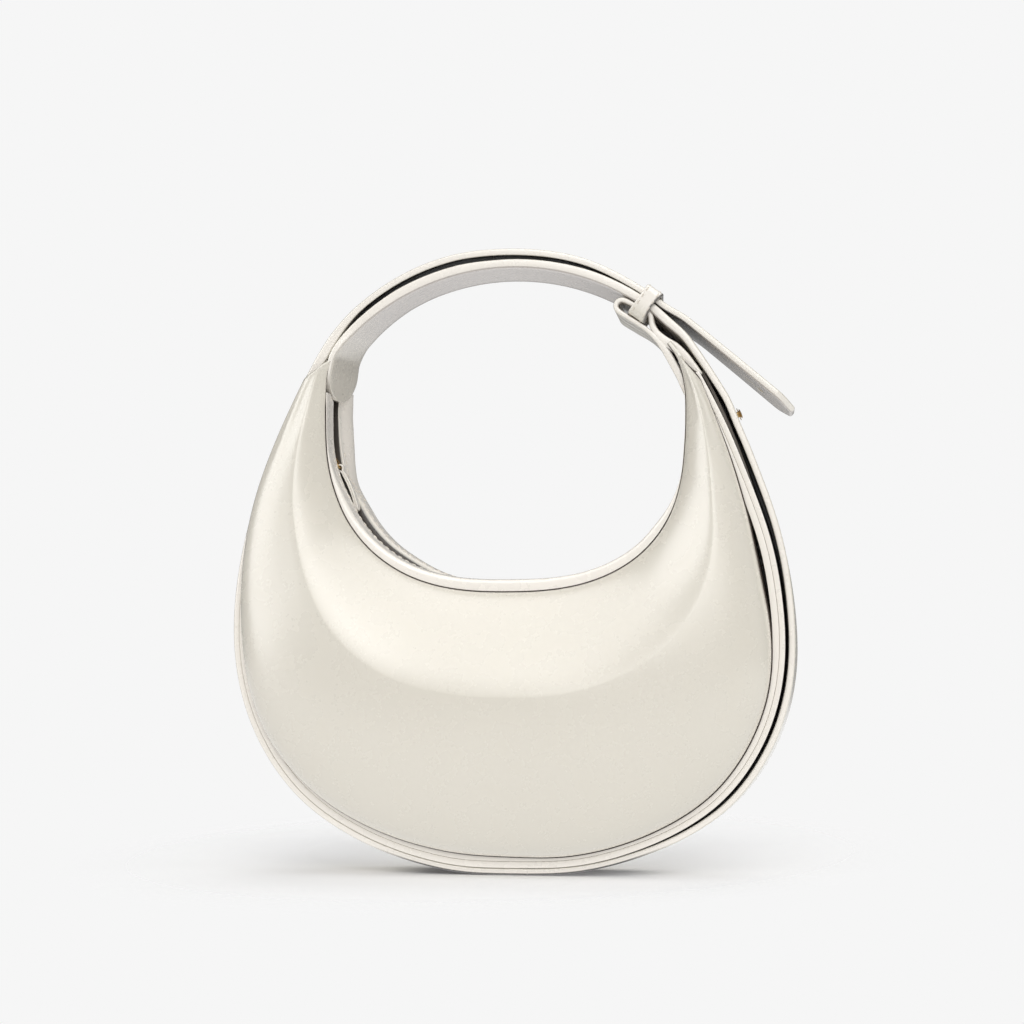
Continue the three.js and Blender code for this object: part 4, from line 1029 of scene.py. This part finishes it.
LEAF = 0.82
eye = LINK_WIRE / 2 * math.sqrt(2) + GAP
eye_middle = eye + LEAF / 2
leave = math.asin(min(0.95, (LEAF / 2 + 0.05) / eye_middle))
around = np.linspace(leave, 2 * np.pi - leave, 30)
loop = np.column_stack([eye_middle * np.cos(around), eye_middle * np.sin(around)])
straight = np.linspace(PULL_LONG - 0.5, eye_middle + 1.6, 24)
top_leaf = np.column_stack([straight, np.full(24, LEAF / 2 + 0.03)])
low_leaf = top_leaf[::-1] * [1, -1]
pull_path = flowing(np.concatenate([top_leaf, loop, low_leaf]), 0.35, 0.5)
from_tip = PULL_LONG - pull_path[:, 0]
pull_half = PULL_WIDTH / 2 * np.sqrt(np.clip(1 - (1 - np.clip(from_tip / 1.8, 0.06, 1)) ** 2, 0, 1))
sections, run, _ = ribbon(pull_path, pull_half, LEAF, corner=0.25)
bent = 0.0105 * np.clip(sections[..., 0], 0, None) ** 2
local = np.stack([sections[..., 0] + LINK_LONG, sections[..., 1], sections[..., 2] - bent], -1)
points, faces = loft(placed(local, pull_place))
make("zip_pull_leather", points, faces, LEATHER, "zip_tab", "zip_pull_tab", "cream_leather",
     {"run": run, "edge": np.ones(len(points))})

# Stops at the ends of the zip.
stop_top = -TAPE_THICK - GAP
stops = [("zip_bottom_clip", "zip_bottom_stop", ZIP_START + STOP_AT / ZIP_RADIUS, 0.0, TAPE_EDGE + 1.4)]
for word, side in (("front", -1), ("back", 1)):
    stops.append(("zip_top_clip_" + word, "zip_top_stop_" + word, np.pi - ZIP_START - STOP_AT / ZIP_RADIUS,
                  side * (TAPE_EDGE + 0.7), 0.7))
for name, node, angle, y, half in stops:
    clip = slab(rounded_outline(STOP_HALF, half, 0.5, 4, (0, y)), stop_top - 1.0, stop_top, 0.25)
    make(name, placed(clip[0], zip_frame(angle, ZIP_RADIUS)), clip[1], BRASS, "bag", node, "brass", sharp=40)


# Straps

def on_handle(degrees, radius):
    turn = np.radians(np.asarray(degrees, float))
    return np.stack([radius * np.sin(turn), HANDLE_CENTRE + radius * np.cos(turn)], -1)


def handle_frame(degrees, radius):
    turn = math.radians(degrees)
    x, z = on_handle(degrees, radius)
    return frame_matrix((math.cos(turn), 0, -math.sin(turn)), (0, 1, 0),
                        (math.sin(turn), 0, math.cos(turn)), (x, 0, z))


# The tail stands a little off the strap under it.
TAIL_LIFT = 1.5

coarse_side = sides(coarse_girth)
belt = coarse_girth + coarse_side * (HALF + belt_gap(coarse_girth))[:, None]

left_belt = belt[belt[:, 0] < STRAP_JOIN - 4][::-1]
arc_degrees = np.linspace(-39.5, TAIL_ANGLE, 27)
drawn = smooth(arc_degrees, FOLD_ANGLE - 20.5, FOLD_ANGLE)
bowed = np.interp(arc_degrees, [-46, -36, -28, -20, -12, -4, 4, 12, 20, 28, 34],
                  [0, 0.5, 0.9, 1.1, 1.0, 0.3, 0, 0.1, 0.5, 0.3, 0.1])
outer_arc = on_handle(arc_degrees, lerp(OUTER_MIDDLE, SQUEEZED, drawn) + bowed)
outer_arc = np.concatenate([outer_arc[arc_degrees < TAIL_ANGLE - 4.5], [on_handle(TAIL_ANGLE - 3.4, SQUEEZED)]])
shoulder = on_handle([-52.5, -47.8, -43.5], np.array([107.5, 108.6, 109.3]))
outer_path = np.concatenate([[[STRAP_JOIN + GAP - 0.04, HALF]], left_belt, shoulder, outer_arc])
outer_dense = flowing(outer_path[::-1])
outer_dense[:, 1] = np.maximum(outer_dense[:, 1], HALF)

right_belt = belt[belt[:, 0] > STRAP_JOIN + 4][::-1]
mouth_side = sides(mouth_plain)
left_mouth = mouth_plain + mouth_side * HALF - [2.2, 0]
in_tongue = ((left_mouth[:, 0] < 0) & (left_mouth[:, 1] > TONGUE_FOOT)
             & (left_mouth[:, 1] < PANEL_INNER_TOP - 4))
tongue_path = evenly(left_mouth[in_tongue][::-1], 6)
inner_arc = on_handle(np.linspace(-38.5, TAIL_ANGLE, 25), HANDLE_MIDDLE)
left_turn = on_handle([-51.0, -46.8, -42.5], np.array([102.9, 104.3, 104.7]))
right_turn = on_handle([42.7, 47.4, 52.0, 56.0, 60.2, 65.8], np.array([104.3, 104.6, 103.9, 103.6, 103.7, 104.6]))
on_body = right_belt[right_belt[:, 1] < 199]
inner_path = np.concatenate([tongue_path, left_turn, inner_arc[inner_arc[:, 0] < 66], right_turn, on_body,
                             [[STRAP_JOIN + GAP + 0.04, HALF]]])
inner_dense = flowing(inner_path[::-1])
inner_dense[:, 1] = np.maximum(inner_dense[:, 1], HALF)


def seen_from_handle(path):
    return np.degrees(np.arctan2(path[:, 0], path[:, 1] - HANDLE_CENTRE))


# Where the two straps come together over the left horn the outer one is padded out to the inner one.
outer_turn = seen_from_handle(outer_dense)
padding = np.interp(outer_turn, [-66, -58, -52, -47, -43, -39, -35], [0, 0.7, 1.7, 1.2, 0.55, 0.15, 0])
outer_dense = outer_dense - sides(outer_dense) * (padding / 2)[:, None]
strap_run = runs(outer_dense)
left_meet = float(strap_run[np.argmin(np.abs(outer_turn + 47))])
outer_lean = np.interp(outer_turn, [-54, -44, -36, -28, -20, 0, 40], [0, -0.8, -2.2, -3.8, -4.6, -4.8, -4.6])


def flat_out(facing):
    return smooth(facing, 0.8, 0.98)


def flat_in(facing):
    return smooth(-facing, 0.8, 0.98)


outer_total = strap_run[-1]


def outer_painted_shade(s, facing):
    """Painted shade where the strap faces the one under it, and a painted contact shadow on its underside at the
    base.
    """
    on_base = smooth(s, outer_total - 75, outer_total - 45)
    meets = flat_in(facing) * lerp(1, 0.3, smooth(s, left_meet - 22, left_meet))
    return np.maximum(meets, smooth(facing, -0.1, 0.4) * on_base)


strip("outer_strap_leather", outer_dense, STRAP_HALF, STRAP_THICK + padding, LEATHER, "outer_strap",
      "cream_leather", corner=0.95, dark=outer_painted_shade, ends=0.05, lean=outer_lean)

inner_run = runs(inner_dense)
inner_total = inner_run[-1]
tongue_run = inner_total - inner_run
round_end = rounded_end(tongue_run, TONGUE_ROUND)
inner_half = lerp(STRAP_HALF, RING_HALF - 0.1, smooth(-tongue_run, -34, -20)) * round_end
inner_turn = seen_from_handle(inner_dense)
fuller_out = np.interp(inner_turn, [-50, -44, -36, -28, -12, -4, 12, 20, 34, 58, 75],
                       [0, 0.2, 0.5, 0.9, 0.7, 0.2, 0.3, 0.5, 0.4, 0.4, 0])
fuller_in = np.interp(inner_turn, [-50, -42, 30, 36, 42, 47, 58, 75], [0, 0.6, 0.6, 0.3, 0.4, -0.1, -0.2, 0])
inner_dense = inner_dense + sides(inner_dense) * ((fuller_out - fuller_in) / 2)[:, None]
inner_thick = STRAP_THICK + fuller_out + fuller_in
inner_lean = np.interp(
    inner_turn, [-80, -60, -55, -51.5, -48, -44, -36, -28, -20, 0, 30, 40, 50, 62, 80, 100, 120, 150],
    [3.4, 3.2, 2.7, 2.2, 0.9, -0.6, -2.2, -3.8, -4.6, -4.8, -4.8, -4.5, -3.6, -2.6, -2, -1.6, -0.8, 0])
keeper_run = float(inner_run[np.argmin(np.abs(inner_turn - TAIL_ANGLE))])


def inner_painted_shade(s, facing):
    """Painted shade where the strap faces the gusset and the strap above it, a painted contact shadow under the
    base, and a faint painted shade at the keeper.
    """
    on_belt = smooth(-s, -keeper_run + 20, -keeper_run + 45)
    under = smooth(s, keeper_run - 12, keeper_run + 2) * smooth(-s, -inner_total + 26, -inner_total + 40)
    on_base = smooth(-s, -70, -40)
    rim = smooth(s, keeper_run, keeper_run + 10) * np.exp(-((facing + 0.5) / 0.2) ** 2)
    dark = np.maximum(flat_in(facing) * on_belt, flat_out(facing) * under)
    return np.maximum(dark, np.maximum(smooth(facing, -0.1, 0.4) * on_base, rim * 0.3))


# Painted greyish shade on the strap's underside, from the keeper round the handle, fading at the tongue.
def inner_painted_grey_shade(s, facing):
    shade = np.interp(s, inner_run, np.interp(inner_turn, [-60, -48, -36, -20, 20, 40], [0, 0.2, 0.9, 1, 1, 1]))
    return faces_in(facing) * smooth(s, keeper_run - 30, keeper_run) * shade


strip("inner_strap_leather", inner_dense, inner_half, inner_thick, LEATHER, "inner_strap", "cream_leather",
      corner=0.95, dark=inner_painted_shade, grey=inner_painted_grey_shade, ends=0.05, lean=inner_lean)

# A near-black sheet fills the back of the gap between the right belt and the gusset, up to the keeper, as painted
# shade in the gap.
gap_sheet_pick = (inner_dense[:, 0] > 0) & (inner_turn > 38.2) & (body_turn(inner_dense) > 27)
gap_sheet_line = inner_dense[gap_sheet_pick]
gap_sheet_turn = inner_turn[gap_sheet_pick]
gap_sheet_thick = np.interp(gap_sheet_turn, [38, 40, 41.5, 43.5, 47, 50, 54, 58, 62, 70],
                     [0.4, 1.6, 3.3, 3.2, 1.3, 2.0, 3.2, 3.0, 2.2, 2.0])
gap_sheet_slit = belt_gap(gap_sheet_line) - (1 - smooth(body_turn(gap_sheet_line), 20, 48)) * (belt_gap(gap_sheet_line) - 0.1)
gap_sheet_thick = np.where(gap_sheet_line[:, 1] < 199, gap_sheet_slit + 0.1, gap_sheet_thick)
gap_sheet_line = gap_sheet_line - sides(gap_sheet_line) * (HALF + gap_sheet_thick / 2)[:, None]
strip("belt_stay", gap_sheet_line, 6.5, gap_sheet_thick, SHADE_SHEET, middle=10.5, corner=0.15,
      lean=np.interp(seen_from_handle(gap_sheet_line), [38, 62, 100, 150], [-4.5, -2.6, -1.6, 0]))

# Stud and nut on the right belt.
STUD_HEIGHT = 200.9
stud_at = int(np.argmin(np.abs(inner_dense[:, 1] - STUD_HEIGHT) + 500 * (inner_dense[:, 0] < 0)))
stud_a, stud_b = inner_dense[stud_at + 2], inner_dense[stud_at - 2]
slope = unit(stud_a - stud_b)
stud_place = frame_matrix((slope[0], 0, slope[1]), (0, 1, 0), (slope[1], 0, -slope[0]),
                          ((stud_a[0] + stud_b[0]) / 2, 0, (stud_a[1] + stud_b[1]) / 2))
stud_place[:3, 1] = np.cross(stud_place[:3, 2], stud_place[:3, 0])
foot = HALF + 0.15
neck, head = foot + 0.3, foot + 0.45
ball = [(2.1 * math.sin(t), head + 0.45 - 0.45 * math.cos(t)) for t in np.linspace(0.75, np.pi, 14)[:-1]]
stud_profile = [(0.01, -HALF - 1.4), (1.15, -HALF - 1.4), (1.3, -HALF - 1.2), (1.3, foot), (2.7, foot),
                (2.8, foot + 0.08), (2.8, foot + 0.22), (2.65, neck), (1.6, neck + 0.03), (1.4, neck + 0.09),
                (1.42, head), *ball, (0.01, head + 0.9)]
points, faces = lathe(stud_profile)
make("belt_stud_brass", placed(points, stud_place), faces, BRASS, "bag", "belt_stud", "brass", sharp=45)
nut_profile = [(1.5, -HALF - 0.1), (2.85, -HALF - 0.1), (3.0, -HALF - 0.3), (3.0, -HALF - 0.9),
               (2.85, -HALF - 1.1), (1.5, -HALF - 1.1)]
a = np.linspace(0, 2 * np.pi, 40, endpoint=False)
nut = np.array([[(r * math.cos(t), r * math.sin(t), z) for r, z in nut_profile] for t in a])
points, faces = loft(nut, closed=True)
make("belt_stud_ring", placed(points, stud_place), faces, BRASS, "bag", "belt_stud_nut", "brass", sharp=45)

# Keeper loop round both straps.
TAB_UPPER = HANDLE_INNER - GAP - TAB_THICK / 2
KEEPER_LOW = TAB_UPPER - TAB_THICK / 2 - GAP - 1.6
KEEPER_HIGH = SQUEEZED + HALF + GAP + 0.2
TAB_LOWER = KEEPER_LOW - KEEPER_THICK - GAP - 1.0
KEEPER_HALF = STRAP_HALF + STRAP_CLEAR
keeper_mid = (KEEPER_LOW + KEEPER_HIGH) / 2
ring = rounded_outline(KEEPER_HALF + KEEPER_THICK / 2, (KEEPER_HIGH - KEEPER_LOW + KEEPER_THICK) / 2, 1.5, 6)
ring = evenly(np.concatenate([ring, ring[:1]]), 170)[:-1]
ring_ahead = unit(np.roll(ring, -1, 0) - np.roll(ring, 1, 0))
ring_out = np.stack([ring_ahead[:, 1], -ring_ahead[:, 0]], 1)
depth, width = KEEPER_THICK / 2, KEEPER_LONG / 2
a, b = rounded_section(depth, width, 0.7)
waist = 1 - 0.05 * np.cos(2 * np.pi * np.arange(len(ring)) / len(ring) * 2)
keeper = np.empty((len(ring), len(a), 3))
high = (ring[:, None, 1] / np.abs(ring[:, 1]).max())
keeper[..., 0] = b * waist[:, None] - 1.5 * smooth(b, 0, width) * (1 - high**2)
keeper[..., 1] = ring[:, None, 0] + ring_out[:, None, 0] * a
keeper[..., 2] = ring[:, None, 1] + ring_out[:, None, 1] * a + keeper_mid
keeper_place = handle_frame(KEEPER_ANGLE, 0.0)
KEEPER_LEAN = -4.6


def leant(points, lean):
    """Points in space with their depths leant to one side."""
    out = np.array(points, float)
    out[..., 0] += leaning(lean, out[..., 1])
    return out


points, faces = loft(leant(placed(keeper, keeper_place), KEEPER_LEAN), closed=True)
# The keeper's rim on one side and the face beside it are painted near-black, as the shadow in the gap against the
# straps.
keeper_painted_shade = smooth(b, width - 1.35, width - 0.6)
make("keeper_loop_leather", points, faces, LEATHER, "keeper", "keeper_loop", "cream_leather",
     {"edge": np.maximum(edge_of(FACING), 0.9 * smooth(high, -0.9, 0.2)),
      "dark": np.broadcast_to(keeper_painted_shade * 0.9, keeper.shape[:2])})

# Tab that folds round the keeper.
tab_lower = on_handle([61.0, 57.9, 54.6, 50.3, 47.4, 44.4, 42.2, 38.8, 35.3, FOLD_ANGLE],
                      np.array([90.2, 90.8, 92.1, 93.4, 94.4, 95.2, 95.6, 95.8, 95.5, TAB_LOWER]))
FOLD_TOP = TAB_UPPER - 0.8
fold_radius = (FOLD_TOP - TAB_LOWER) / 2
fold_frame = handle_frame(FOLD_ANGLE, TAB_LOWER + fold_radius)
fold_turn = np.radians(np.linspace(-75, 75, 7))
fold = placed(np.column_stack([-fold_radius * np.cos(fold_turn), 0 * fold_turn,
                               fold_radius * np.sin(fold_turn)]), fold_frame)[:, [0, 2]]
upper_run = on_handle([39.6, 41.5, 44.6, 47.8, 51.3, 55.2, 57.4],
                      np.array([98.9, 97.6, 97.1, 98.3, 99.0, 99.6, 100.3]))
upper_arc = on_handle(np.linspace(FOLD_ANGLE, 37.6, 6), np.linspace(FOLD_TOP, TAB_UPPER, 6))
tab_path = flowing(np.concatenate([tab_lower, fold, upper_arc, upper_run]), 0.5, 0.9)
tab_run = runs(tab_path)
tab_half = (STRAP_HALF - 0.6) * rounded_end(tab_run, TAB_ROUND)
tab_turned = seen_from_handle(tab_path)
on_leaf = smooth(tab_run, tab_run[-1] - 42, tab_run[-1] - 36)
leaf_thick = np.interp(tab_turned, [38, 41.5, 44.6, 47.8, 51.3, 55.2, 57.4], [2.4, 2.8, 4.2, 4.6, 4.2, 3.0, 1.6])
lower_thick = np.interp(tab_turned, [30, 33, 40, 44, 48, 53, 58], [2.2, 2.0, 2.0, 2.6, 3.4, 3.4, TAB_THICK])
tab_lean = np.interp(tab_turned, [30, 36, 42, 50], [-1.8, -1.6, -0.4, 0])
leaf_from = tab_run[-1] - 42
# Inside the fold the tab is painted greyish as shade, and near-black on the upper leaf where it faces the lower one.
strip("keeper_tab_leather", tab_path, tab_half, lerp(lower_thick, leaf_thick, on_leaf), LEATHER, "keeper_tab",
      "cream_leather", corner=0.8, lean=tab_lean, grey=lambda s, f: faces_out(f) * 0.5,
      dark=lambda s, f: faces_out(f) * 0.97 * smooth(s, leaf_from + 14, leaf_from + 20))

# Free tail of the strap.
tail_share = np.concatenate([np.linspace(-0.085, 0.83, 66), np.linspace(0.84, 0.985, 24), [0.991, 0.996, 1.0]])
tail_round = np.interp(tail_share, [0.985, 0.991, 0.996, 1.0], [0, 0.12, 0.4, 0.95])
tail_s = tail_share * TAIL_LONG
tail_half = lerp(STRAP_HALF, TAIL_TIP_HALF, smooth(tail_share, 0.84, 1) ** 2) - 1.6 * tail_round
tail_depth = HALF - 0.85 * tail_round
twist = np.radians(TAIL_TWIST) * np.clip(tail_share, 0, 1)
corner = np.minimum(0.95, tail_depth * 0.95)[:, None]
a, b = rounded_section(tail_depth[:, None], tail_half[:, None], corner)
tail = np.empty((*a.shape, 3))
tail[..., 0] = tail_s[:, None]
tail[..., 1] = b * np.cos(twist)[:, None] + a * np.sin(twist)[:, None]
tail_mid = TAIL_LIFT * smooth(tail_s, -3, 11) - TAIL_DROOP * np.clip(tail_share, 0, 1) ** 2
tail[..., 2] = tail_mid[:, None] - b * np.sin(twist)[:, None] + a * np.cos(twist)[:, None]
tail_place = handle_frame(TAIL_ANGLE, SQUEEZED)
tail_face = np.broadcast_to(FACING, a.shape)
under = faces_in(tail_face)
# The tail's underside is painted greyish as shade, near-black near the keeper as its shadow.
tail_values = {
    "edge": edge_of(tail_face) * 0.7,
    "grey": under * 0.9,
    "dark": under * (1 - smooth(tail_s, 6, 40))[:, None] * 0.93,
}
TAIL_LEAN = -2.0
tail_lean = lerp(KEEPER_LEAN, TAIL_LEAN, smooth(tail_s, -2, 22))[:, None]
points, faces = loft(leant(placed(tail, tail_place), tail_lean))
tail_piece = make("strap_tail_leather", points, faces, LEATHER, None, "strap_tail", "cream_leather", tail_values)
hole = lathe([(0.01, -9), (2.0, -9), (2.0, 9), (0.01, 9)], 32)
slit = slab(rounded_outline(4.5, 0.4, 0.38, 3, (-4.5, 0)), -9, 9, 0.05)
cutters = []
for name, part in (("cut_hole", hole), ("cut_slit", slit)):
    shifted = np.asarray(part[0], float) + [BUTTONHOLE_AT, 0, 0]
    cutter = make(name, leant(placed(shifted, tail_place), TAIL_LEAN), outward(part[0], part[1]), LEATHER, None)
    cutters.append(cutter)
    change = tail_piece.modifiers.new(name, "BOOLEAN")
    change.operation = "DIFFERENCE"
    change.solver = "EXACT"
    change.object = cutter
bpy.context.view_layer.update()
shown = tail_piece.evaluated_get(bpy.context.evaluated_depsgraph_get())
cut_mesh = bpy.data.meshes.new_from_object(shown)
tail_piece.modifiers.clear()
tail_piece.data = cut_mesh
for cutter in cutters:
    bpy.data.objects.remove(cutter)
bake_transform(tail_piece)


# Stitching

def stitches(line, normal, pitch, long, radius, sink=0.35):
    """A row of short sewn threads along points on a face."""
    s = runs(line)
    count = int(s[-1] / pitch)
    at = (np.arange(count) + 0.5) * s[-1] / count
    centre = at_run(at, s, line)
    ahead = unit(at_run(at + 0.2, s, line) - at_run(at - 0.2, s, line))
    up = unit(at_run(at, s, normal))
    across = np.cross(up, ahead)
    rings, around_count = 7, 7
    t = np.linspace(-1, 1, rings)
    turn = np.linspace(0, 2 * np.pi, around_count, endpoint=False)
    thin = np.sqrt(np.clip(1 - (np.abs(t) * 0.96) ** 4, 0, 1))
    x = np.repeat(t * long / 2, around_count)
    y = (thin[:, None] * radius * np.cos(turn)).ravel()
    z = (thin[:, None] * radius * np.sin(turn) + (radius * sink - radius * 1.1 * t[:, None] ** 4)).ravel()
    points = (centre[:, None] + ahead[:, None] * x[None, :, None] + across[:, None] * y[None, :, None]
              + up[:, None] * z[None, :, None])
    local = loft(np.zeros((rings, around_count, 3)))[1]
    base = np.column_stack([x, y, z])
    local = outward(base, local)
    size = rings * around_count
    faces = (np.asarray(local[:-2])[None] + np.arange(count)[:, None, None] * size).reshape(-1, 4).tolist()
    for k in range(count):
        faces += [[v + k * size for v in face] for face in local[-2:]]
    return points.reshape(-1, 3), faces


STITCH_ROW = 15.4
BASE_BARE = 76


def strap_rows(path, low, high, thick, lean):
    """Two stitch rows on the outer face of a strap, between two runs along it."""
    s = runs(path)
    keep = (s >= low) & (s <= high)
    side = sides(path)[keep]
    line = path[keep] + side * (np.broadcast_to(thick, s.shape)[keep] / 2)[:, None]
    rows = []
    for y in (-STITCH_ROW, STITCH_ROW):
        place = np.column_stack([line[:, 0] + leaning(lean[keep], y), np.full(len(line), y), line[:, 1]])
        normal = np.column_stack([side[:, 0], 0 * side[:, 0], side[:, 1]])
        rows.append(stitches(place, normal, 4.2, 2.9, 0.26, -0.72))
    return rows


rows = strap_rows(outer_dense, 10, outer_total - BASE_BARE, STRAP_THICK + padding, outer_lean)
rows += strap_rows(inner_dense, BASE_BARE, keeper_run - 14, inner_thick, inner_lean)
make("strap_stitches", *gathered(rows), THREAD)

lip_rows = []
lip_angles = np.linspace(LIP_START + 0.2, np.pi - LIP_START - 0.2, 300)
lip_out = np.stack([np.cos(lip_angles), 0 * lip_angles, np.sin(lip_angles)], 1)
for side in (-1, 1):
    crest_rows = lip_sections(lip_angles, side)[:, 8:19]
    nearest = np.argmin(np.abs(crest_rows[..., 1] - side * 6.9), 1)
    line = crest_rows[np.arange(len(lip_angles)), nearest]
    lip_rows.append(stitches(line, lip_out, 3.6, 2.5, 0.24))
make("lip_stitches", *gathered(lip_rows), THREAD)

keeper_rows = []
for x in (-3.1, 2.3):
    line = np.column_stack([np.full(len(ring), x), ring[:, 0] + ring_out[:, 0] * depth,
                            ring[:, 1] + ring_out[:, 1] * depth + keeper_mid])
    normal = np.column_stack([0 * ring_out[:, 0], ring_out])
    line = np.concatenate([line, line[:1]])
    normal = np.concatenate([normal, normal[:1]])
    turned = normal @ keeper_place[:3, :3].T
    keeper_rows.append(stitches(leant(placed(line, keeper_place), KEEPER_LEAN), turned, 3.4, 2.2, 0.27))
make("keeper_stitches", *gathered(keeper_rows), THREAD, "keeper")

tail_rows = []
for sign in (-1, 1):
    keep = (tail_s > 16) & (tail_share < 0.965)
    y = sign * (tail_half[keep] - 2.6)
    w = twist[keep]
    line = np.column_stack([tail_s[keep], y * np.cos(w) + HALF * np.sin(w),
                            tail_mid[keep] - y * np.sin(w) + HALF * np.cos(w)])
    normal = np.column_stack([0 * w, np.sin(w), np.cos(w)])
    place = leant(placed(line, tail_place), tail_lean[keep, 0])
    tail_rows.append(stitches(place, normal @ tail_place[:3, :3].T, 4.2, 2.9, 0.26, -0.6))
make("tail_stitches", *gathered(tail_rows), THREAD, "tail")

pull_rows = []
for y in (-1.45, 1.45):
    x = np.linspace(3.2, PULL_LONG - 1.6, 40) + LINK_LONG
    line = np.column_stack([x, np.full(40, y), np.full(40, LEAF + 0.03)])
    normal = np.tile([0.0, 0.0, 1.0], (40, 1))
    pull_rows.append(stitches(placed(line, pull_place), normal @ pull_place[:3, :3].T, 2.1, 1.4, 0.16))
make("pull_stitches", *gathered(pull_rows), THREAD, "zip_tab")


# Floor, light and camera

FLOOR_TONE = 0.88
FLOOR_BOUNCE = 0.92
FLOOR_OVAL = (5.6, 3.4, 0.0)
FLOOR_SHIFT = (0.17, -0.5, 0.0)
FLOOR_RADIUS = 1.6
FLOOR_BELOW = -0.0002
BACKDROP = 0.9216
FILL_LIGHT = 0.25
WHITE = (1.0, 1.0, 1.0, 1.0)


def floor_material():
    """A pale matte floor that fades into the backdrop, and throws an even light back on to the bag."""
    material, tree, bsdf, place = surface("studio_floor")
    tree.nodes.remove(bsdf)
    oval = add(tree, "ShaderNodeVectorMath", place, FLOOR_OVAL, FLOOR_SHIFT, settings={"operation": "MULTIPLY_ADD"})
    far = add(tree, "ShaderNodeVectorMath", oval.outputs["Vector"], settings={"operation": "LENGTH"})
    fade = ranged(tree, far.outputs["Value"], 0.55, 1.15, 0.0, 1.0)
    base = mixed(tree, noise(tree, place, 60.0, 3.0), colour([FLOOR_TONE] * 3), colour([FLOOR_TONE * 0.996] * 3))
    matte = add(tree, "ShaderNodeBsdfDiffuse", Color=base).outputs[0]
    clear = add(tree, "ShaderNodeBsdfTransparent").outputs[0]
    shown = add(tree, "ShaderNodeMixShader", fade, matte, clear).outputs[0]
    bounce = add(tree, "ShaderNodeEmission", Color=WHITE, Strength=FLOOR_BOUNCE).outputs[0]
    to_camera = add(tree, "ShaderNodeLightPath").outputs["Is Camera Ray"]
    choose = add(tree, "ShaderNodeMixShader", to_camera, bounce, shown)
    tree.links.new(choose.outputs[0], tree.nodes["Material Output"].inputs["Surface"])
    return material


turn = np.linspace(0, 2 * np.pi, 64, endpoint=False)
floor_points = [(FLOOR_RADIUS * math.cos(t), FLOOR_RADIUS * math.sin(t), FLOOR_BELOW) for t in turn]
floor_mesh = bpy.data.meshes.new("studio_floor")
floor_mesh.from_pydata(floor_points, [], [list(range(len(turn)))])
floor_mesh.materials.append(floor_material())
floor = bpy.data.objects.new("studio_floor", floor_mesh)
bpy.context.scene.collection.objects.link(floor)

world = bpy.data.worlds.new("studio")
bpy.context.scene.world = world
world.use_nodes = True
tree = world.node_tree
ray = add(tree, "ShaderNodeLightPath").outputs
seen = maths(tree, "MAXIMUM", ray["Is Camera Ray"], ray["Is Transmission Ray"])
soft = add(tree, "ShaderNodeBackground", Color=WHITE, Strength=FILL_LIGHT).outputs[0]
back = tree.nodes["Background"]
back.inputs["Color"].default_value = colour([BACKDROP] * 3)
choose = add(tree, "ShaderNodeMixShader", seen, soft, back.outputs[0])
tree.links.new(choose.outputs[0], tree.nodes["World Output"].inputs["Surface"])


def lamp(name, azimuth, height, spread, level, shiny=False):
    """A broad soft light from a direction, seen as a shine or as plain light; level is as on a white card."""
    data = bpy.data.lights.new(name, "SUN")
    data.angle = math.radians(spread)
    data.energy = level * math.pi
    obj = bpy.data.objects.new(name, data)
    a, h = math.radians(azimuth), math.radians(height)
    place = Vector((math.sin(a) * math.cos(h), -math.cos(a) * math.cos(h), math.sin(h)))
    obj.location = place * 2
    obj.rotation_mode = "QUATERNION"
    obj.rotation_quaternion = (-place).to_track_quat("-Z", "Y")
    obj.visible_glossy = shiny
    obj.visible_diffuse = not shiny
    bpy.context.scene.collection.objects.link(obj)


lamp("key_light", 12, 31, 40, 0.41)
lamp("left_light", -60, 24, 50, 0.17)
lamp("right_light", 82, 32, 60, 0.24)
lamp("top_light", 15, 78, 30, 0.15)
lamp("back_light", 178, 62, 36, 0.28)
lamp("upper_shine", 2, 68, 76, 0.6, True)
lamp("left_shine", -59, 21, 44, 0.32, True)
lamp("front_shine", 5, 22, 32, 0.11, True)

AZIMUTH = math.radians(10.0)
EYE_HEIGHT = 0.086
EYE_DISTANCE = 1.0
VIEW_WIDTH = 0.4567
PHOTO_SIDE = 1024
camera_data = bpy.data.cameras.new("photo_camera")
camera_data.sensor_width = 36.0
camera_data.lens = 36.0 * EYE_DISTANCE / VIEW_WIDTH
camera_data.shift_x = -3.5 / PHOTO_SIDE
camera_data.shift_y = 166.7 / PHOTO_SIDE
camera_data.clip_start = 0.01
camera = bpy.data.objects.new("photo_camera", camera_data)
toward = Vector((math.sin(AZIMUTH), -math.cos(AZIMUTH), 0))
camera.location = toward * EYE_DISTANCE + Vector((0, 0, EYE_HEIGHT))
camera.rotation_mode = "QUATERNION"
camera.rotation_quaternion = (-toward).to_track_quat("-Z", "Y")
bpy.context.scene.collection.objects.link(camera)
bpy.context.scene.camera = camera
bpy.context.scene.view_settings.view_transform = "Standard"

bpy.context.view_layer.update()
